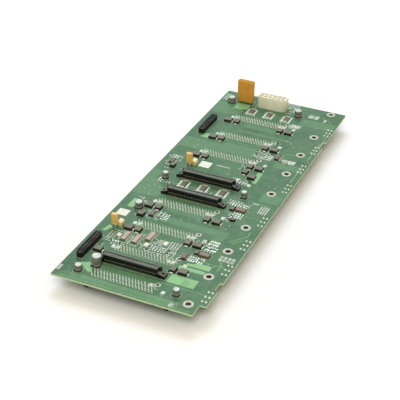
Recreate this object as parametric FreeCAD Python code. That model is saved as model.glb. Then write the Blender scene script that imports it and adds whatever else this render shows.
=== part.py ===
import FreeCAD, Part
import math
import os

# Drive backplane board: a long circuit board that carries seven drive
# connectors on its underside and the cable, power and small parts on top.
# Board coordinates: X across from the left edge, Y along from the near edge,
# Z up from the surface the board rests on. Sizes are in millimetres.

os.makedirs("parts", exist_ok=True)

# ---------------------------------------------------------------- board
BOARD_LENGTH = 332.0
# The length that the places along the board below are laid out for.
LAYOUT_LENGTH = 332.0
BOARD_WIDTH = 117.6
BOARD_THICKNESS = 1.6
CORNER_RECESS_WIDTH = 5.0
CORNER_RECESS_LENGTH = 12.5
SIDE_NOTCH_DEPTH = 2.4
SIDE_NOTCH_LENGTH = 11.0
SIDE_NOTCH_NEAR_Y = 31.8
SIDE_NOTCH_FAR_Y = 263.5
NOTCH_SLOPE = 1.0
EDGE_NICK_X = 82.5
EDGE_NICK_WIDTH = 1.4
EDGE_NICK_DEPTH = 0.9

# ------------------------------------------------ mounting holes and slots
SLOT_PITCH = 35.56
SLOTS_PER_GROUP = 4
FIRST_HOLE_Y = 10.07
SECOND_GROUP_Y = 171.84
HOLE_EDGE_DISTANCE = 12.6
HOLE_DIAMETER = 4.0
END_HOLE_Y = 327.0
LAND_DIAMETER = 8.3
LAND_THICKNESS = 0.12
LAND_SIDES = 12

# ------------------------------------------------------- drive connectors
DRIVE_HEIGHT = 12.0
DRIVE_CENTRE_X = 54.4
DRIVE_NOSE_CENTRE_X = 52.2
TAIL_CENTRE_X = 51.6
DRIVE_OFFSET_Y = 4.2
DRIVE_BASE_LENGTH = 70.6
DRIVE_BASE_DEPTH = 8.4
DRIVE_BASE_HEIGHT = 3.2
DRIVE_NOSE_LENGTH = 54.6
DRIVE_NOSE_DEPTH = 7.0
DRIVE_NOSE_HEIGHT = 5.6
DRIVE_NOSE_CHAMFER = 1.5
DRIVE_SLOT_LENGTH = 51.8
DRIVE_SLOT_WIDTH = 3.0
DRIVE_SLOT_DEPTH = 7.2
DRIVE_LEAD_IN = 0.6
GUIDE_POST_SPACING = 65.2
GUIDE_POST_WIDTH = 4.6
GUIDE_POST_DEPTH = 6.4
GUIDE_TIP_HEIGHT = 2.4
GUIDE_TIP_TAPER = 1.0

# Contact tails of one drive connector: four staggered rows of twenty.
TAIL_COLUMNS = 20
TAIL_PITCH = 2.54
TAIL_ROW_STEP = 1.9
TAIL_SIDE_GAP = 2.8
TAIL_STAGGER = 1.27
TAIL_HEIGHT = 1.8
TAIL_FOOT = 1.25

# ------------------------------------------------------- cable connectors
# Each place: centre x, front y.
CABLE_PLACES = ((49.6, 28.5), (51.4, 133.5), (51.4, 163.2))
CABLE_BODY_LENGTH = 44.4
CABLE_BODY_DEPTH = 5.6
CABLE_BODY_HEIGHT = 7.3
CABLE_REBATE_HEIGHT = 3.3
CABLE_REBATE_DEPTH = 0.75
CABLE_EDGE_CHAMFER = 0.4
CABLE_SLOT_WIDTH = 1.0
CABLE_SLOT_DEPTH = 4.6
CABLE_SLOT_BACK = 1.3
CABLE_SLOT_END = 1.1
CABLE_WING_LENGTH = 5.8
CABLE_WING_INNER_HEIGHT = 3.9
CABLE_WING_OUTER_HEIGHT = 2.2
CABLE_EAR_WIDTH = 1.5
CABLE_EAR_DEPTH = 2.2
CABLE_EAR_HEIGHT = 7.6
CABLE_EAR_TIP = 0.6
WING_HOLE_DIAMETER = 2.0
WING_HOLE_SIDES = 8
WING_HOLE_FLOOR = 1.2
CABLE_WAYS = 34
CABLE_END_MARGIN = 1.245
LEG_WIDTH = 0.5
LEG_FOOT = 0.7

# ----------------------------------------------------------- side headers
# Each housing has two long grooves, one on either side of a middle tongue.
HEADER_LENGTH = 32.4
HEADER_WIDTH = 5.6
HEADER_HEIGHT = 4.6
HEADER_CHAMFER = 1.4
HEADER_TONGUE = 1.4
HEADER_GROOVE = 1.0
HEADER_GROOVE_END = 2.0
HEADER_FLOOR = 1.4
HEADER_PLACES = {"near": (5.6, 26.1), "far": (7.9, 241.2)}
HEADER_COLUMNS = 14
HEADER_END_MARGIN = 3.2
HEADER_PIN = 0.5
HEADER_PIN_LENGTH = 2.7

# -------------------------------------------------------- power connector
POWER_X = 37.0
POWER_Y = 311.4
POWER_LENGTH = 27.6
POWER_DEPTH = 9.6
POWER_HEIGHT = 11.6
POWER_CHAMFER = 2.4
POWER_COLUMNS = 6
POWER_ROWS = 2
POWER_PITCH = 4.2
POWER_CELL = 3.3
POWER_FLOOR = 2.4
POWER_PIN = 1.0
POWER_PIN_LENGTH = 6.6

# ------------------------------------------------------------------ fuses
BIG_FUSE_X = 16.2
BIG_FUSE_Y = 312.8
BIG_FUSE_WIDTH = 15.6
BIG_FUSE_DEPTH = 5.4
BIG_FUSE_HEIGHT = 21.0
BIG_FUSE_STANDOFF = 1.4
BIG_FUSE_CORNER = 0.7
BIG_FUSE_LEAD = 0.9
BIG_FUSE_LEAD_SPACING = 10.2

SMALL_FUSE_PLACES = {"near": (10.9, 72.0), "middle": (23.4, 182.4)}
SMALL_FUSE_WIDTH = 5.4
SMALL_FUSE_DEPTH = 3.2
SMALL_FUSE_HEIGHT = 9.6
SMALL_FUSE_STANDOFF = 3.0
SMALL_FUSE_CORNER = 0.7
SMALL_FUSE_LEAD = 0.6
SMALL_FUSE_LEAD_SPACING = 3.4
FILM_CAP_WIDTH = 3.4
FILM_CAP_DEPTH = 5.6
FILM_CAP_HEIGHT = 4.8
FILM_CAP_SLOPE = 1.0
FILM_CAP_GAP = 0.3
FILM_CAP_TUCK = 1.6

# ------------------------------------------------------------- capacitors
# Each place: centre x, centre y, can diameter, overall height.
CAN_PLACES = (
    (16.1, 12.3, 5.2, 5.4),
    (93.0, 16.0, 5.0, 5.4),
    (17.2, 107.0, 6.0, 5.8),
    (16.2, 157.8, 5.0, 5.8),
    (87.0, 157.0, 5.0, 5.8),
    (12.2, 310.4, 6.3, 5.8),
    (78.4, 310.6, 6.3, 6.4),
)
BIG_CAN_X = 25.3
BIG_CAN_DIAMETER = 7.0
BIG_CAN_HEIGHT = 8.8
CAN_BASE_HEIGHT = 1.0
CAN_BASE_MARGIN = 0.15
CAN_BASE_CHAMFER = 1.2

# --------------------------------------------------- moulded power diodes
DIODE_HEIGHT = 2.3
DIODE_SIZE = (7.0, 5.8)
DIODE_TURNED_SIZE = (5.2, 6.2)
DIODE_TAPER = 0.25
DIODE_TAB_WIDTH = 2.6
DIODE_TAB_LENGTH = 0.8
DIODE_TAB_THICKNESS = 0.5
RIGHT_PAIR_X = 71.2
LEFT_PAIR_X = 20.3
PAIR_GAP = 1.3
PAIR_DROP_Y = 7.2
SLOT_TWO_RIGHT_SHIFT = 4.6
SLOT_TWO_LEFT_SHIFT = -7.2
EXTRA_PAIR_X = 70.4
EXTRA_PAIR_DROP_Y = 22.6

# ----------------------------------------------- flat strip resistors
STRIP_WIDTH = 4.6
STRIP_LENGTH = 11.0
STRIP_HEIGHT = 0.9
STRIP_END = 1.2
STRIP_PITCH_X = 17.2
STRIP_COUNT = 3
STRIP_ROWS = ((32.2, 149.0), (34.2, 294.2))

# ---------------------------------------------------- terminator packages
PACKAGE_WIDTH = 4.0
PACKAGE_HEIGHT = 1.6
PACKAGE_STANDOFF = 0.1
LEAD_PITCH = 1.27
LEAD_WIDTH = 0.45
LEAD_REACH = 1.0
LEAD_HEIGHT = 0.8
PACKAGE_END_MARGIN = 1.2
# Each place: left x, near y, body length along y.
TERMINATOR_PLACES = (
    (25.2, 59.6, 11.4),
    (34.6, 59.6, 11.4),
    (42.7, 67.2, 11.4),
)
LOGIC_PLACES = (
    (77.0, 56.6, 7.6),
    (29.6, 99.0, 7.6),
    (87.0, 224.8, 8.8),
    (7.6, 181.0, 7.6),
)

# --------------------------------------------------------- small blocks
# Each place: left x, near y, size x, size y, height.
OSCILLATOR_PLACES = (
    (45.0, 59.0, 3.6, 4.2, 1.6),
    (57.6, 66.6, 3.6, 4.2, 1.6),
    (20.4, 62.8, 3.2, 4.0, 1.4),
)
BROWN_BLOCK_PLACES = (
    (87.4, 65.6, 8.6, 4.4, 1.9),
    (88.2, 134.6, 8.4, 4.6, 1.9),
)
BLACK_BLOCK_PLACES = (
    (89.6, 119.8, 4.4, 3.0, 2.0),
    (20.8, 95.0, 5.8, 5.6, 2.8),
    (83.4, 66.4, 3.4, 4.6, 1.6),
    (83.6, 133.6, 3.8, 6.2, 2.0),
    (11.4, 174.6, 4.4, 5.6, 2.6),
)
BLOCK_TAPER = 0.2

# Chip resistors and capacitors in regular banks: left x, near y, column
# step, row step. Their columns and rows are counted in the same order below.
CHIP_LENGTH = 2.0
CHIP_WIDTH = 1.25
CHIP_HEIGHT = 0.6
CHIP_BANKS = (
    (50.6, 57.4, 2.3, 3.4),
    (62.4, 64.2, 2.3, 3.4),
    (88.6, 73.4, 2.3, 3.4),
    (20.8, 51.6, 2.6, 3.6),
    (14.2, 58.6, 2.4, 3.6),
    (36.2, 101.2, 3.4, 2.6),
    (78.2, 146.8, 2.5, 3.4),
    (17.2, 150.2, 2.5, 3.4),
    (72.2, 174.6, 2.6, 3.4),
    (94.4, 225.6, 3.2, 3.4),
    (72.4, 221.0, 2.6, 3.4),
)
CHIP_BANK_COUNTS = (
    (6, 2),
    (4, 3),
    (4, 1),
    (2, 2),
    (3, 3),
    (2, 3),
    (5, 1),
    (3, 1),
    (4, 2),
    (3, 1),
    (3, 1),
)

# ----------------------------------------------------------------- labels
LABEL_THICKNESS = 0.12
# Each place: left x, centre y, size x, size y.
LABEL_PLACES = {"near": (4.5, 95.3, 9.2, 8.8), "far": (32.4, 191.9, 9.8, 9.6)}

# -------------------------------------------------------- indicator lamps
LAMP_BLOCK_WIDTH = 4.8
LAMP_BLOCK_LENGTH = 15.4
LAMP_BLOCK_HEIGHT = 3.2
LAMP_BLOCK_EDGE = 1.6
LAMP_OFFSET_Y = 5.2
LAMP_COUNT = 3
LAMP_PITCH = 5.4
LAMP_DIAMETER = 3.0
LAMP_SIDES = 6
LAMP_PROUD = 1.1

# ------------------------------------------- worked-out levels and places
BOARD_BOTTOM = DRIVE_HEIGHT
BOARD_TOP = BOARD_BOTTOM + BOARD_THICKNESS
HOLE_X = BOARD_WIDTH - HOLE_EDGE_DISTANCE
CABLE_PITCH = (CABLE_BODY_LENGTH - 2 * CABLE_END_MARGIN) / (CABLE_WAYS - 1)
HEADER_PITCH = (HEADER_LENGTH - 2 * HEADER_END_MARGIN) / (HEADER_COLUMNS - 1)


def along(y):
    """A place along the board, which keeps its share of the board's length."""
    return y * BOARD_LENGTH / LAYOUT_LENGTH


NEAR_LINES = [along(FIRST_HOLE_Y + i * SLOT_PITCH) for i in range(SLOTS_PER_GROUP)]
FAR_LINES = [along(SECOND_GROUP_Y + i * SLOT_PITCH) for i in range(SLOTS_PER_GROUP)]
SLOT_LINES = NEAR_LINES + FAR_LINES
# The nearest line of the far group carries no drive connector.
DRIVE_LINES = NEAR_LINES + FAR_LINES[1:]


def vec(x, y, z):
    return FreeCAD.Vector(x, y, z)


def block(x, y, z, size_x, size_y, size_z):
    return Part.makeBox(size_x, size_y, size_z, vec(x, y, z))


def plate(points, z, height):
    """Closed outline in plan, raised from z by height."""
    corners = [vec(x, y, z) for x, y in points]
    outline = Part.makePolygon(corners + corners[:1])
    return Part.Face(outline).extrude(vec(0, 0, height))


def side_profile(points, y, depth):
    """Closed outline of (x, z) points, pushed along Y."""
    corners = [vec(x, y, z) for x, z in points]
    outline = Part.makePolygon(corners + corners[:1])
    return Part.Face(outline).extrude(vec(0, depth, 0))


def end_profile(points, x, length):
    """Closed outline of (y, z) points, pushed along X."""
    corners = [vec(x, y, z) for y, z in points]
    outline = Part.makePolygon(corners + corners[:1])
    return Part.Face(outline).extrude(vec(length, 0, 0))


def round_outline(x, y, diameter, sides):
    """Corners of an even outline whose flats touch a circle of this diameter."""
    reach = diameter / 2 / math.cos(math.pi / sides)
    turns = [2 * math.pi * (i + 0.5) / sides for i in range(sides)]
    return [(x + reach * math.cos(turn), y + reach * math.sin(turn)) for turn in turns]


def rectangle(x, y, size_x, size_y, z):
    """Corners of a rectangle in plan, anticlockwise from the near left."""
    return [
        vec(x, y, z),
        vec(x + size_x, y, z),
        vec(x + size_x, y + size_y, z),
        vec(x, y + size_y, z),
    ]


def flat_face(corners):
    return Part.Face(Part.makePolygon(corners + corners[:1]))


def flat_sided(lower, upper):
    """Solid with flat sides between a lower and an upper rectangle."""
    faces = [flat_face(lower[::-1]), flat_face(upper)]
    for i in range(4):
        after = (i + 1) % 4
        faces.append(flat_face([lower[i], lower[after], upper[after], upper[i]]))
    return Part.makeSolid(Part.makeShell(faces))


def tapered_block(x, y, z, size_x, size_y, height, taper):
    """Moulded block whose four sides draw in by taper at the top."""
    lower = rectangle(x, y, size_x, size_y, z)
    upper = rectangle(x + taper, y + taper, size_x - 2 * taper, size_y - 2 * taper, z + height)
    return flat_sided(lower, upper)


def join(solids):
    shape = solids[0]
    for other in solids[1:]:
        shape = shape.fuse(other)
    return shape.removeSplitter()


def save(name, shape):
    placed = shape.copy()
    placed.translate(vec(-BOARD_WIDTH / 2, -BOARD_LENGTH / 2, 0))
    placed.exportStep("parts/" + name + ".step")


def save_group(name, solids):
    save(name, Part.makeCompound(solids))


# ------------------------------------------------------------------ board
def right_notch(start_y):
    """Edge points, in order, of one shallow notch in the right edge."""
    inner_x = BOARD_WIDTH - SIDE_NOTCH_DEPTH
    return [
        (BOARD_WIDTH, start_y),
        (inner_x, start_y + NOTCH_SLOPE),
        (inner_x, start_y + SIDE_NOTCH_LENGTH - NOTCH_SLOPE),
        (BOARD_WIDTH, start_y + SIDE_NOTCH_LENGTH),
    ]


def make_board():
    recess_x = BOARD_WIDTH - CORNER_RECESS_WIDTH
    outline = [
        (0, 0),
        (EDGE_NICK_X, 0),
        (EDGE_NICK_X + EDGE_NICK_WIDTH / 2, EDGE_NICK_DEPTH),
        (EDGE_NICK_X + EDGE_NICK_WIDTH, 0),
        (recess_x, 0),
        (recess_x, CORNER_RECESS_LENGTH),
        (BOARD_WIDTH, CORNER_RECESS_LENGTH),
    ]
    outline += right_notch(along(SIDE_NOTCH_NEAR_Y))
    outline += right_notch(along(SIDE_NOTCH_FAR_Y))
    outline += [(BOARD_WIDTH, BOARD_LENGTH), (0, BOARD_LENGTH)]
    board = plate(outline, BOARD_BOTTOM, BOARD_THICKNESS)
    for x, y in hole_places():
        drill = Part.makeCylinder(HOLE_DIAMETER / 2, BOARD_THICKNESS, vec(x, y, BOARD_BOTTOM))
        board = board.cut(drill)
    save("circuit_board", board)


def hole_places():
    return [(HOLE_X, y) for y in SLOT_LINES] + [(HOLE_X, along(END_HOLE_Y))]


def make_lands():
    """Plated ring round each hole on the top of the board, made of short flats."""
    rings = []
    for x, y in hole_places():
        disc = plate(round_outline(x, y, LAND_DIAMETER, LAND_SIDES), BOARD_TOP, LAND_THICKNESS)
        bore = plate(round_outline(x, y, HOLE_DIAMETER, LAND_SIDES), BOARD_TOP, LAND_THICKNESS)
        rings.append(disc.cut(bore))
    save_group("hole_lands", rings)


# ------------------------------------------------------- drive connectors
def guide_post(centre_x, centre_y):
    """Upright post that ends in a tapered tip on the resting surface."""
    left = centre_x - GUIDE_POST_WIDTH / 2
    front = centre_y - GUIDE_POST_DEPTH / 2
    shank = block(left, front, GUIDE_TIP_HEIGHT, GUIDE_POST_WIDTH, GUIDE_POST_DEPTH,
                  BOARD_BOTTOM - GUIDE_TIP_HEIGHT)
    tip_width = GUIDE_POST_WIDTH - 2 * GUIDE_TIP_TAPER
    tip_depth = GUIDE_POST_DEPTH - 2 * GUIDE_TIP_TAPER
    end = rectangle(left + GUIDE_TIP_TAPER, front + GUIDE_TIP_TAPER, tip_width, tip_depth, 0)
    root = rectangle(left, front, GUIDE_POST_WIDTH, GUIDE_POST_DEPTH, GUIDE_TIP_HEIGHT)
    return shank.fuse(flat_sided(end, root))


def drive_housing(centre_y):
    base_left = DRIVE_CENTRE_X - DRIVE_BASE_LENGTH / 2
    base_front = centre_y - DRIVE_BASE_DEPTH / 2
    base_z = BOARD_BOTTOM - DRIVE_BASE_HEIGHT
    base = block(base_left, base_front, base_z, DRIVE_BASE_LENGTH, DRIVE_BASE_DEPTH, DRIVE_BASE_HEIGHT)

    nose_left = DRIVE_NOSE_CENTRE_X - DRIVE_NOSE_LENGTH / 2
    nose_right = nose_left + DRIVE_NOSE_LENGTH
    nose_front = centre_y - DRIVE_NOSE_DEPTH / 2
    nose_back = nose_front + DRIVE_NOSE_DEPTH
    nose_z = base_z - DRIVE_NOSE_HEIGHT
    nose = plate([
        (nose_left + DRIVE_NOSE_CHAMFER, nose_front),
        (nose_right - DRIVE_NOSE_CHAMFER, nose_front),
        (nose_right, nose_front + DRIVE_NOSE_CHAMFER),
        (nose_right, nose_back),
        (nose_left, nose_back),
        (nose_left, nose_front + DRIVE_NOSE_CHAMFER),
    ], nose_z, DRIVE_NOSE_HEIGHT)

    half_slot = DRIVE_SLOT_WIDTH / 2
    slot = end_profile([
        (centre_y - half_slot - DRIVE_LEAD_IN, nose_z),
        (centre_y + half_slot + DRIVE_LEAD_IN, nose_z),
        (centre_y + half_slot, nose_z + DRIVE_LEAD_IN),
        (centre_y + half_slot, nose_z + DRIVE_SLOT_DEPTH),
        (centre_y - half_slot, nose_z + DRIVE_SLOT_DEPTH),
        (centre_y - half_slot, nose_z + DRIVE_LEAD_IN),
    ], DRIVE_NOSE_CENTRE_X - DRIVE_SLOT_LENGTH / 2, DRIVE_SLOT_LENGTH)

    half_spacing = GUIDE_POST_SPACING / 2
    posts = [guide_post(DRIVE_CENTRE_X + side * half_spacing, centre_y) for side in (-1, 1)]
    return join([base, nose] + posts).cut(slot)


def tail_places(centre_y):
    """Centres of the eighty tails of one connector, row by row."""
    start_x = TAIL_CENTRE_X - (TAIL_COLUMNS - 0.5) * TAIL_PITCH / 2
    places = []
    for side in (-1, 1):
        inner = centre_y + side * TAIL_SIDE_GAP / 2
        for step in range(2):
            y = inner + side * step * TAIL_ROW_STEP
            shift = TAIL_STAGGER if (step == 0) == (side > 0) else 0.0
            places += [(start_x + shift + i * TAIL_PITCH, y) for i in range(TAIL_COLUMNS)]
    return places


def solder_tail(x, y):
    """Cut contact tail in its cone of solder, drawn as a slim pyramid."""
    foot = rectangle(x - TAIL_FOOT / 2, y - TAIL_FOOT / 2, TAIL_FOOT, TAIL_FOOT, BOARD_TOP)
    peak = vec(x, y, BOARD_TOP + TAIL_HEIGHT)
    sides = [flat_face([foot[i], foot[(i + 1) % 4], peak]) for i in range(4)]
    return Part.makeSolid(Part.makeShell([flat_face(foot[::-1])] + sides))


def make_drive_connectors():
    tails = []
    for number, line_y in enumerate(DRIVE_LINES, start=1):
        centre_y = line_y + DRIVE_OFFSET_Y
        save("drive_connector_%d" % number, drive_housing(centre_y))
        tails += [solder_tail(x, y) for x, y in tail_places(centre_y)]
    save_group("drive_contact_tails", tails)


# ------------------------------------------------------- cable connectors
def cable_housing(centre_x, front_y):
    left = centre_x - CABLE_BODY_LENGTH / 2
    back_y = front_y + CABLE_BODY_DEPTH
    top = BOARD_TOP + CABLE_BODY_HEIGHT
    rebate_top = BOARD_TOP + CABLE_REBATE_HEIGHT
    body = end_profile([
        (front_y + CABLE_REBATE_DEPTH, BOARD_TOP),
        (front_y + CABLE_REBATE_DEPTH, rebate_top),
        (front_y, rebate_top),
        (front_y, top - CABLE_EDGE_CHAMFER),
        (front_y + CABLE_EDGE_CHAMFER, top),
        (back_y - CABLE_EDGE_CHAMFER, top),
        (back_y, top - CABLE_EDGE_CHAMFER),
        (back_y, rebate_top),
        (back_y - CABLE_REBATE_DEPTH, rebate_top),
        (back_y - CABLE_REBATE_DEPTH, BOARD_TOP),
    ], left, CABLE_BODY_LENGTH)

    pieces = [body]
    for side in (-1, 1):
        inner = centre_x + side * CABLE_BODY_LENGTH / 2
        outer = inner + side * CABLE_WING_LENGTH
        wing = side_profile([
            (inner, BOARD_TOP),
            (outer, BOARD_TOP),
            (outer, BOARD_TOP + CABLE_WING_OUTER_HEIGHT),
            (inner, BOARD_TOP + CABLE_WING_INNER_HEIGHT),
        ], front_y, CABLE_BODY_DEPTH)
        hole_x = (inner + outer) / 2 + side * CABLE_EAR_WIDTH / 2
        hole = plate(round_outline(hole_x, front_y + CABLE_BODY_DEPTH / 2, WING_HOLE_DIAMETER, WING_HOLE_SIDES),
                     BOARD_TOP + WING_HOLE_FLOOR, CABLE_WING_INNER_HEIGHT)
        wing = wing.cut(hole)
        ear_edge = inner + side * CABLE_EAR_WIDTH
        ear_top = BOARD_TOP + CABLE_EAR_HEIGHT
        ear = side_profile([
            (inner, BOARD_TOP),
            (ear_edge, BOARD_TOP),
            (ear_edge, ear_top - CABLE_EAR_TIP),
            (ear_edge - side * CABLE_EAR_TIP, ear_top),
            (inner, ear_top),
        ], back_y - CABLE_EAR_DEPTH, CABLE_EAR_DEPTH)
        pieces += [wing, ear]

    slot = block(left + CABLE_SLOT_END, back_y - CABLE_SLOT_BACK - CABLE_SLOT_WIDTH, top - CABLE_SLOT_DEPTH,
                 CABLE_BODY_LENGTH - 2 * CABLE_SLOT_END, CABLE_SLOT_WIDTH, CABLE_SLOT_DEPTH)
    return join(pieces).cut(slot)


def cable_legs(centre_x, front_y):
    """Two rows of contact legs in the rebates, each a wedge that widens to its soldered foot."""
    start_x = centre_x - (CABLE_WAYS - 1) * CABLE_PITCH / 2 - LEG_WIDTH / 2
    front_wall = front_y + CABLE_REBATE_DEPTH
    back_wall = front_y + CABLE_BODY_DEPTH - CABLE_REBATE_DEPTH
    legs = []
    for wall_y, foot_y in ((front_wall, front_wall - LEG_FOOT), (back_wall, back_wall + LEG_FOOT)):
        for i in range(CABLE_WAYS):
            legs.append(end_profile([
                (wall_y, BOARD_TOP),
                (foot_y, BOARD_TOP),
                (wall_y, BOARD_TOP + CABLE_REBATE_HEIGHT),
            ], start_x + i * CABLE_PITCH, LEG_WIDTH))
    return legs


def make_cable_connectors():
    for number, (centre_x, front_y) in enumerate(CABLE_PLACES, start=1):
        save("cable_connector_%d" % number, cable_housing(centre_x, along(front_y)))
        save_group("cable_contact_legs_%d" % number, cable_legs(centre_x, along(front_y)))


# ----------------------------------------------------------- side headers
def chamfered_outline(x, y, size_x, size_y, chamfer):
    return [
        (x + chamfer, y),
        (x + size_x - chamfer, y),
        (x + size_x, y + chamfer),
        (x + size_x, y + size_y - chamfer),
        (x + size_x - chamfer, y + size_y),
        (x + chamfer, y + size_y),
        (x, y + size_y - chamfer),
        (x, y + chamfer),
    ]


def header_grooves(x):
    """Left edge of each of the two grooves."""
    inner = x + (HEADER_WIDTH - HEADER_TONGUE) / 2
    return (inner - HEADER_GROOVE, inner + HEADER_TONGUE)


def header_housing(x, y):
    housing = plate(chamfered_outline(x, y, HEADER_WIDTH, HEADER_LENGTH, HEADER_CHAMFER), BOARD_TOP, HEADER_HEIGHT)
    for left in header_grooves(x):
        groove = block(left, y + HEADER_GROOVE_END, BOARD_TOP + HEADER_FLOOR,
                       HEADER_GROOVE, HEADER_LENGTH - 2 * HEADER_GROOVE_END, HEADER_HEIGHT - HEADER_FLOOR)
        housing = housing.cut(groove)
    return housing


def header_pins(x, y):
    pins = []
    for left in header_grooves(x):
        pin_x = left + (HEADER_GROOVE - HEADER_PIN) / 2
        for i in range(HEADER_COLUMNS):
            pin_y = y + HEADER_END_MARGIN + i * HEADER_PITCH - HEADER_PIN / 2
            pins.append(block(pin_x, pin_y, BOARD_TOP + HEADER_FLOOR, HEADER_PIN, HEADER_PIN, HEADER_PIN_LENGTH))
    return pins


def make_side_headers():
    for place, (x, y) in HEADER_PLACES.items():
        save("side_header_" + place, header_housing(x, along(y)))
        save_group("side_header_pins_" + place, header_pins(x, along(y)))


# -------------------------------------------------------- power connector
def power_cells():
    """Near-left corner of each cell, spread about the middle of the housing."""
    first_x = POWER_X + POWER_LENGTH / 2 - (POWER_COLUMNS - 1) * POWER_PITCH / 2 - POWER_CELL / 2
    first_y = along(POWER_Y) + POWER_DEPTH / 2 - (POWER_ROWS - 1) * POWER_PITCH / 2 - POWER_CELL / 2
    return [(first_x + i * POWER_PITCH, first_y + j * POWER_PITCH)
            for j in range(POWER_ROWS) for i in range(POWER_COLUMNS)]


def make_power_connector():
    front_y = along(POWER_Y)
    right_x = POWER_X + POWER_LENGTH
    housing = plate([
        (POWER_X + POWER_CHAMFER, front_y),
        (right_x - POWER_CHAMFER, front_y),
        (right_x, front_y + POWER_CHAMFER),
        (right_x, front_y + POWER_DEPTH),
        (POWER_X, front_y + POWER_DEPTH),
        (POWER_X, front_y + POWER_CHAMFER),
    ], BOARD_TOP, POWER_HEIGHT)
    pins = []
    for x, y in power_cells():
        cell = block(x, y, BOARD_TOP + POWER_FLOOR, POWER_CELL, POWER_CELL, POWER_HEIGHT - POWER_FLOOR)
        housing = housing.cut(cell)
        inset = (POWER_CELL - POWER_PIN) / 2
        pins.append(block(x + inset, y + inset, BOARD_TOP + POWER_FLOOR, POWER_PIN, POWER_PIN, POWER_PIN_LENGTH))
    save("power_connector", housing)
    save_group("power_pins", pins)


# ------------------------------------------------------------------ fuses
def make_big_fuse():
    front_y = along(BIG_FUSE_Y)
    body = plate(chamfered_outline(BIG_FUSE_X, front_y, BIG_FUSE_WIDTH, BIG_FUSE_DEPTH, BIG_FUSE_CORNER),
                 BOARD_TOP + BIG_FUSE_STANDOFF, BIG_FUSE_HEIGHT)
    save("large_fuse", body)
    leads = []
    for side in (-1, 1):
        x = BIG_FUSE_X + BIG_FUSE_WIDTH / 2 + side * BIG_FUSE_LEAD_SPACING / 2 - BIG_FUSE_LEAD / 2
        y = front_y + BIG_FUSE_DEPTH / 2 - BIG_FUSE_LEAD / 2
        leads.append(block(x, y, BOARD_TOP, BIG_FUSE_LEAD, BIG_FUSE_LEAD, BIG_FUSE_STANDOFF))
    save_group("large_fuse_leads", leads)


def make_small_fuses():
    leads = []
    films = []
    for place, (x, layout_y) in SMALL_FUSE_PLACES.items():
        y = along(layout_y)
        body = plate(chamfered_outline(x, y, SMALL_FUSE_WIDTH, SMALL_FUSE_DEPTH, SMALL_FUSE_CORNER),
                     BOARD_TOP + SMALL_FUSE_STANDOFF, SMALL_FUSE_HEIGHT)
        save("small_fuse_" + place, body)
        lead_y = y + SMALL_FUSE_DEPTH / 2 - SMALL_FUSE_LEAD / 2
        for side in (-1, 1):
            lead_x = x + SMALL_FUSE_WIDTH / 2 + side * SMALL_FUSE_LEAD_SPACING / 2 - SMALL_FUSE_LEAD / 2
            leads.append(block(lead_x, lead_y, BOARD_TOP, SMALL_FUSE_LEAD, SMALL_FUSE_LEAD, SMALL_FUSE_STANDOFF))
        cap_x = x + SMALL_FUSE_WIDTH - FILM_CAP_TUCK
        cap_right = cap_x + FILM_CAP_WIDTH
        films.append(side_profile([
            (cap_x, BOARD_TOP),
            (cap_right, BOARD_TOP),
            (cap_right, BOARD_TOP + FILM_CAP_HEIGHT - FILM_CAP_SLOPE),
            (cap_x, BOARD_TOP + FILM_CAP_HEIGHT),
        ], y + SMALL_FUSE_DEPTH + FILM_CAP_GAP, FILM_CAP_DEPTH))
    save_group("small_fuse_leads", leads)
    save_group("film_capacitors", films)


# ------------------------------------------------------------- capacitors
def can_shell(x, y, diameter, height):
    return Part.makeCylinder(diameter / 2, height - CAN_BASE_HEIGHT, vec(x, y, BOARD_TOP + CAN_BASE_HEIGHT))


def can_base(x, y, diameter):
    half = diameter / 2 + CAN_BASE_MARGIN
    return plate([
        (x - half, y - half),
        (x + half - CAN_BASE_CHAMFER, y - half),
        (x + half, y - half + CAN_BASE_CHAMFER),
        (x + half, y + half - CAN_BASE_CHAMFER),
        (x + half - CAN_BASE_CHAMFER, y + half),
        (x - half, y + half),
    ], BOARD_TOP, CAN_BASE_HEIGHT)


def make_capacitors():
    places = [(x, along(y), diameter, height) for x, y, diameter, height in CAN_PLACES]
    places.append((BIG_CAN_X, big_can_y(), BIG_CAN_DIAMETER, BIG_CAN_HEIGHT))
    save_group("capacitor_cans", [can_shell(*place) for place in places])
    save_group("capacitor_bases", [can_base(x, y, diameter) for x, y, diameter, height in places])


def big_can_y():
    """Half way between the first row of tails and the first cable connector."""
    tails_end = DRIVE_LINES[0] + DRIVE_OFFSET_Y + TAIL_SIDE_GAP / 2 + TAIL_ROW_STEP + TAIL_FOOT / 2
    first_cable_y = CABLE_PLACES[0][1]
    return (tails_end + along(first_cable_y)) / 2


# --------------------------------------------------- moulded power diodes
def diode(x, y, size):
    return tapered_block(x, y, BOARD_TOP, size[0], size[1], DIODE_HEIGHT, DIODE_TAPER)


def diode_tabs(x, y, size):
    """Two end tabs, each a low wedge from the foot of a short side outwards."""
    size_x, size_y = size
    tabs = []
    for side in (0, 1):
        if size_x > size_y:
            inner = x + side * size_x
            slope = wedge_outline(inner, inner + (2 * side - 1) * DIODE_TAB_LENGTH)
            tabs.append(side_profile(slope, y + (size_y - DIODE_TAB_WIDTH) / 2, DIODE_TAB_WIDTH))
        else:
            inner = y + side * size_y
            slope = wedge_outline(inner, inner + (2 * side - 1) * DIODE_TAB_LENGTH)
            tabs.append(end_profile(slope, x + (size_x - DIODE_TAB_WIDTH) / 2, DIODE_TAB_WIDTH))
    return tabs


def wedge_outline(inner, outer):
    return [(inner, BOARD_TOP), (outer, BOARD_TOP), (inner, BOARD_TOP + DIODE_TAB_THICKNESS)]


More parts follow.
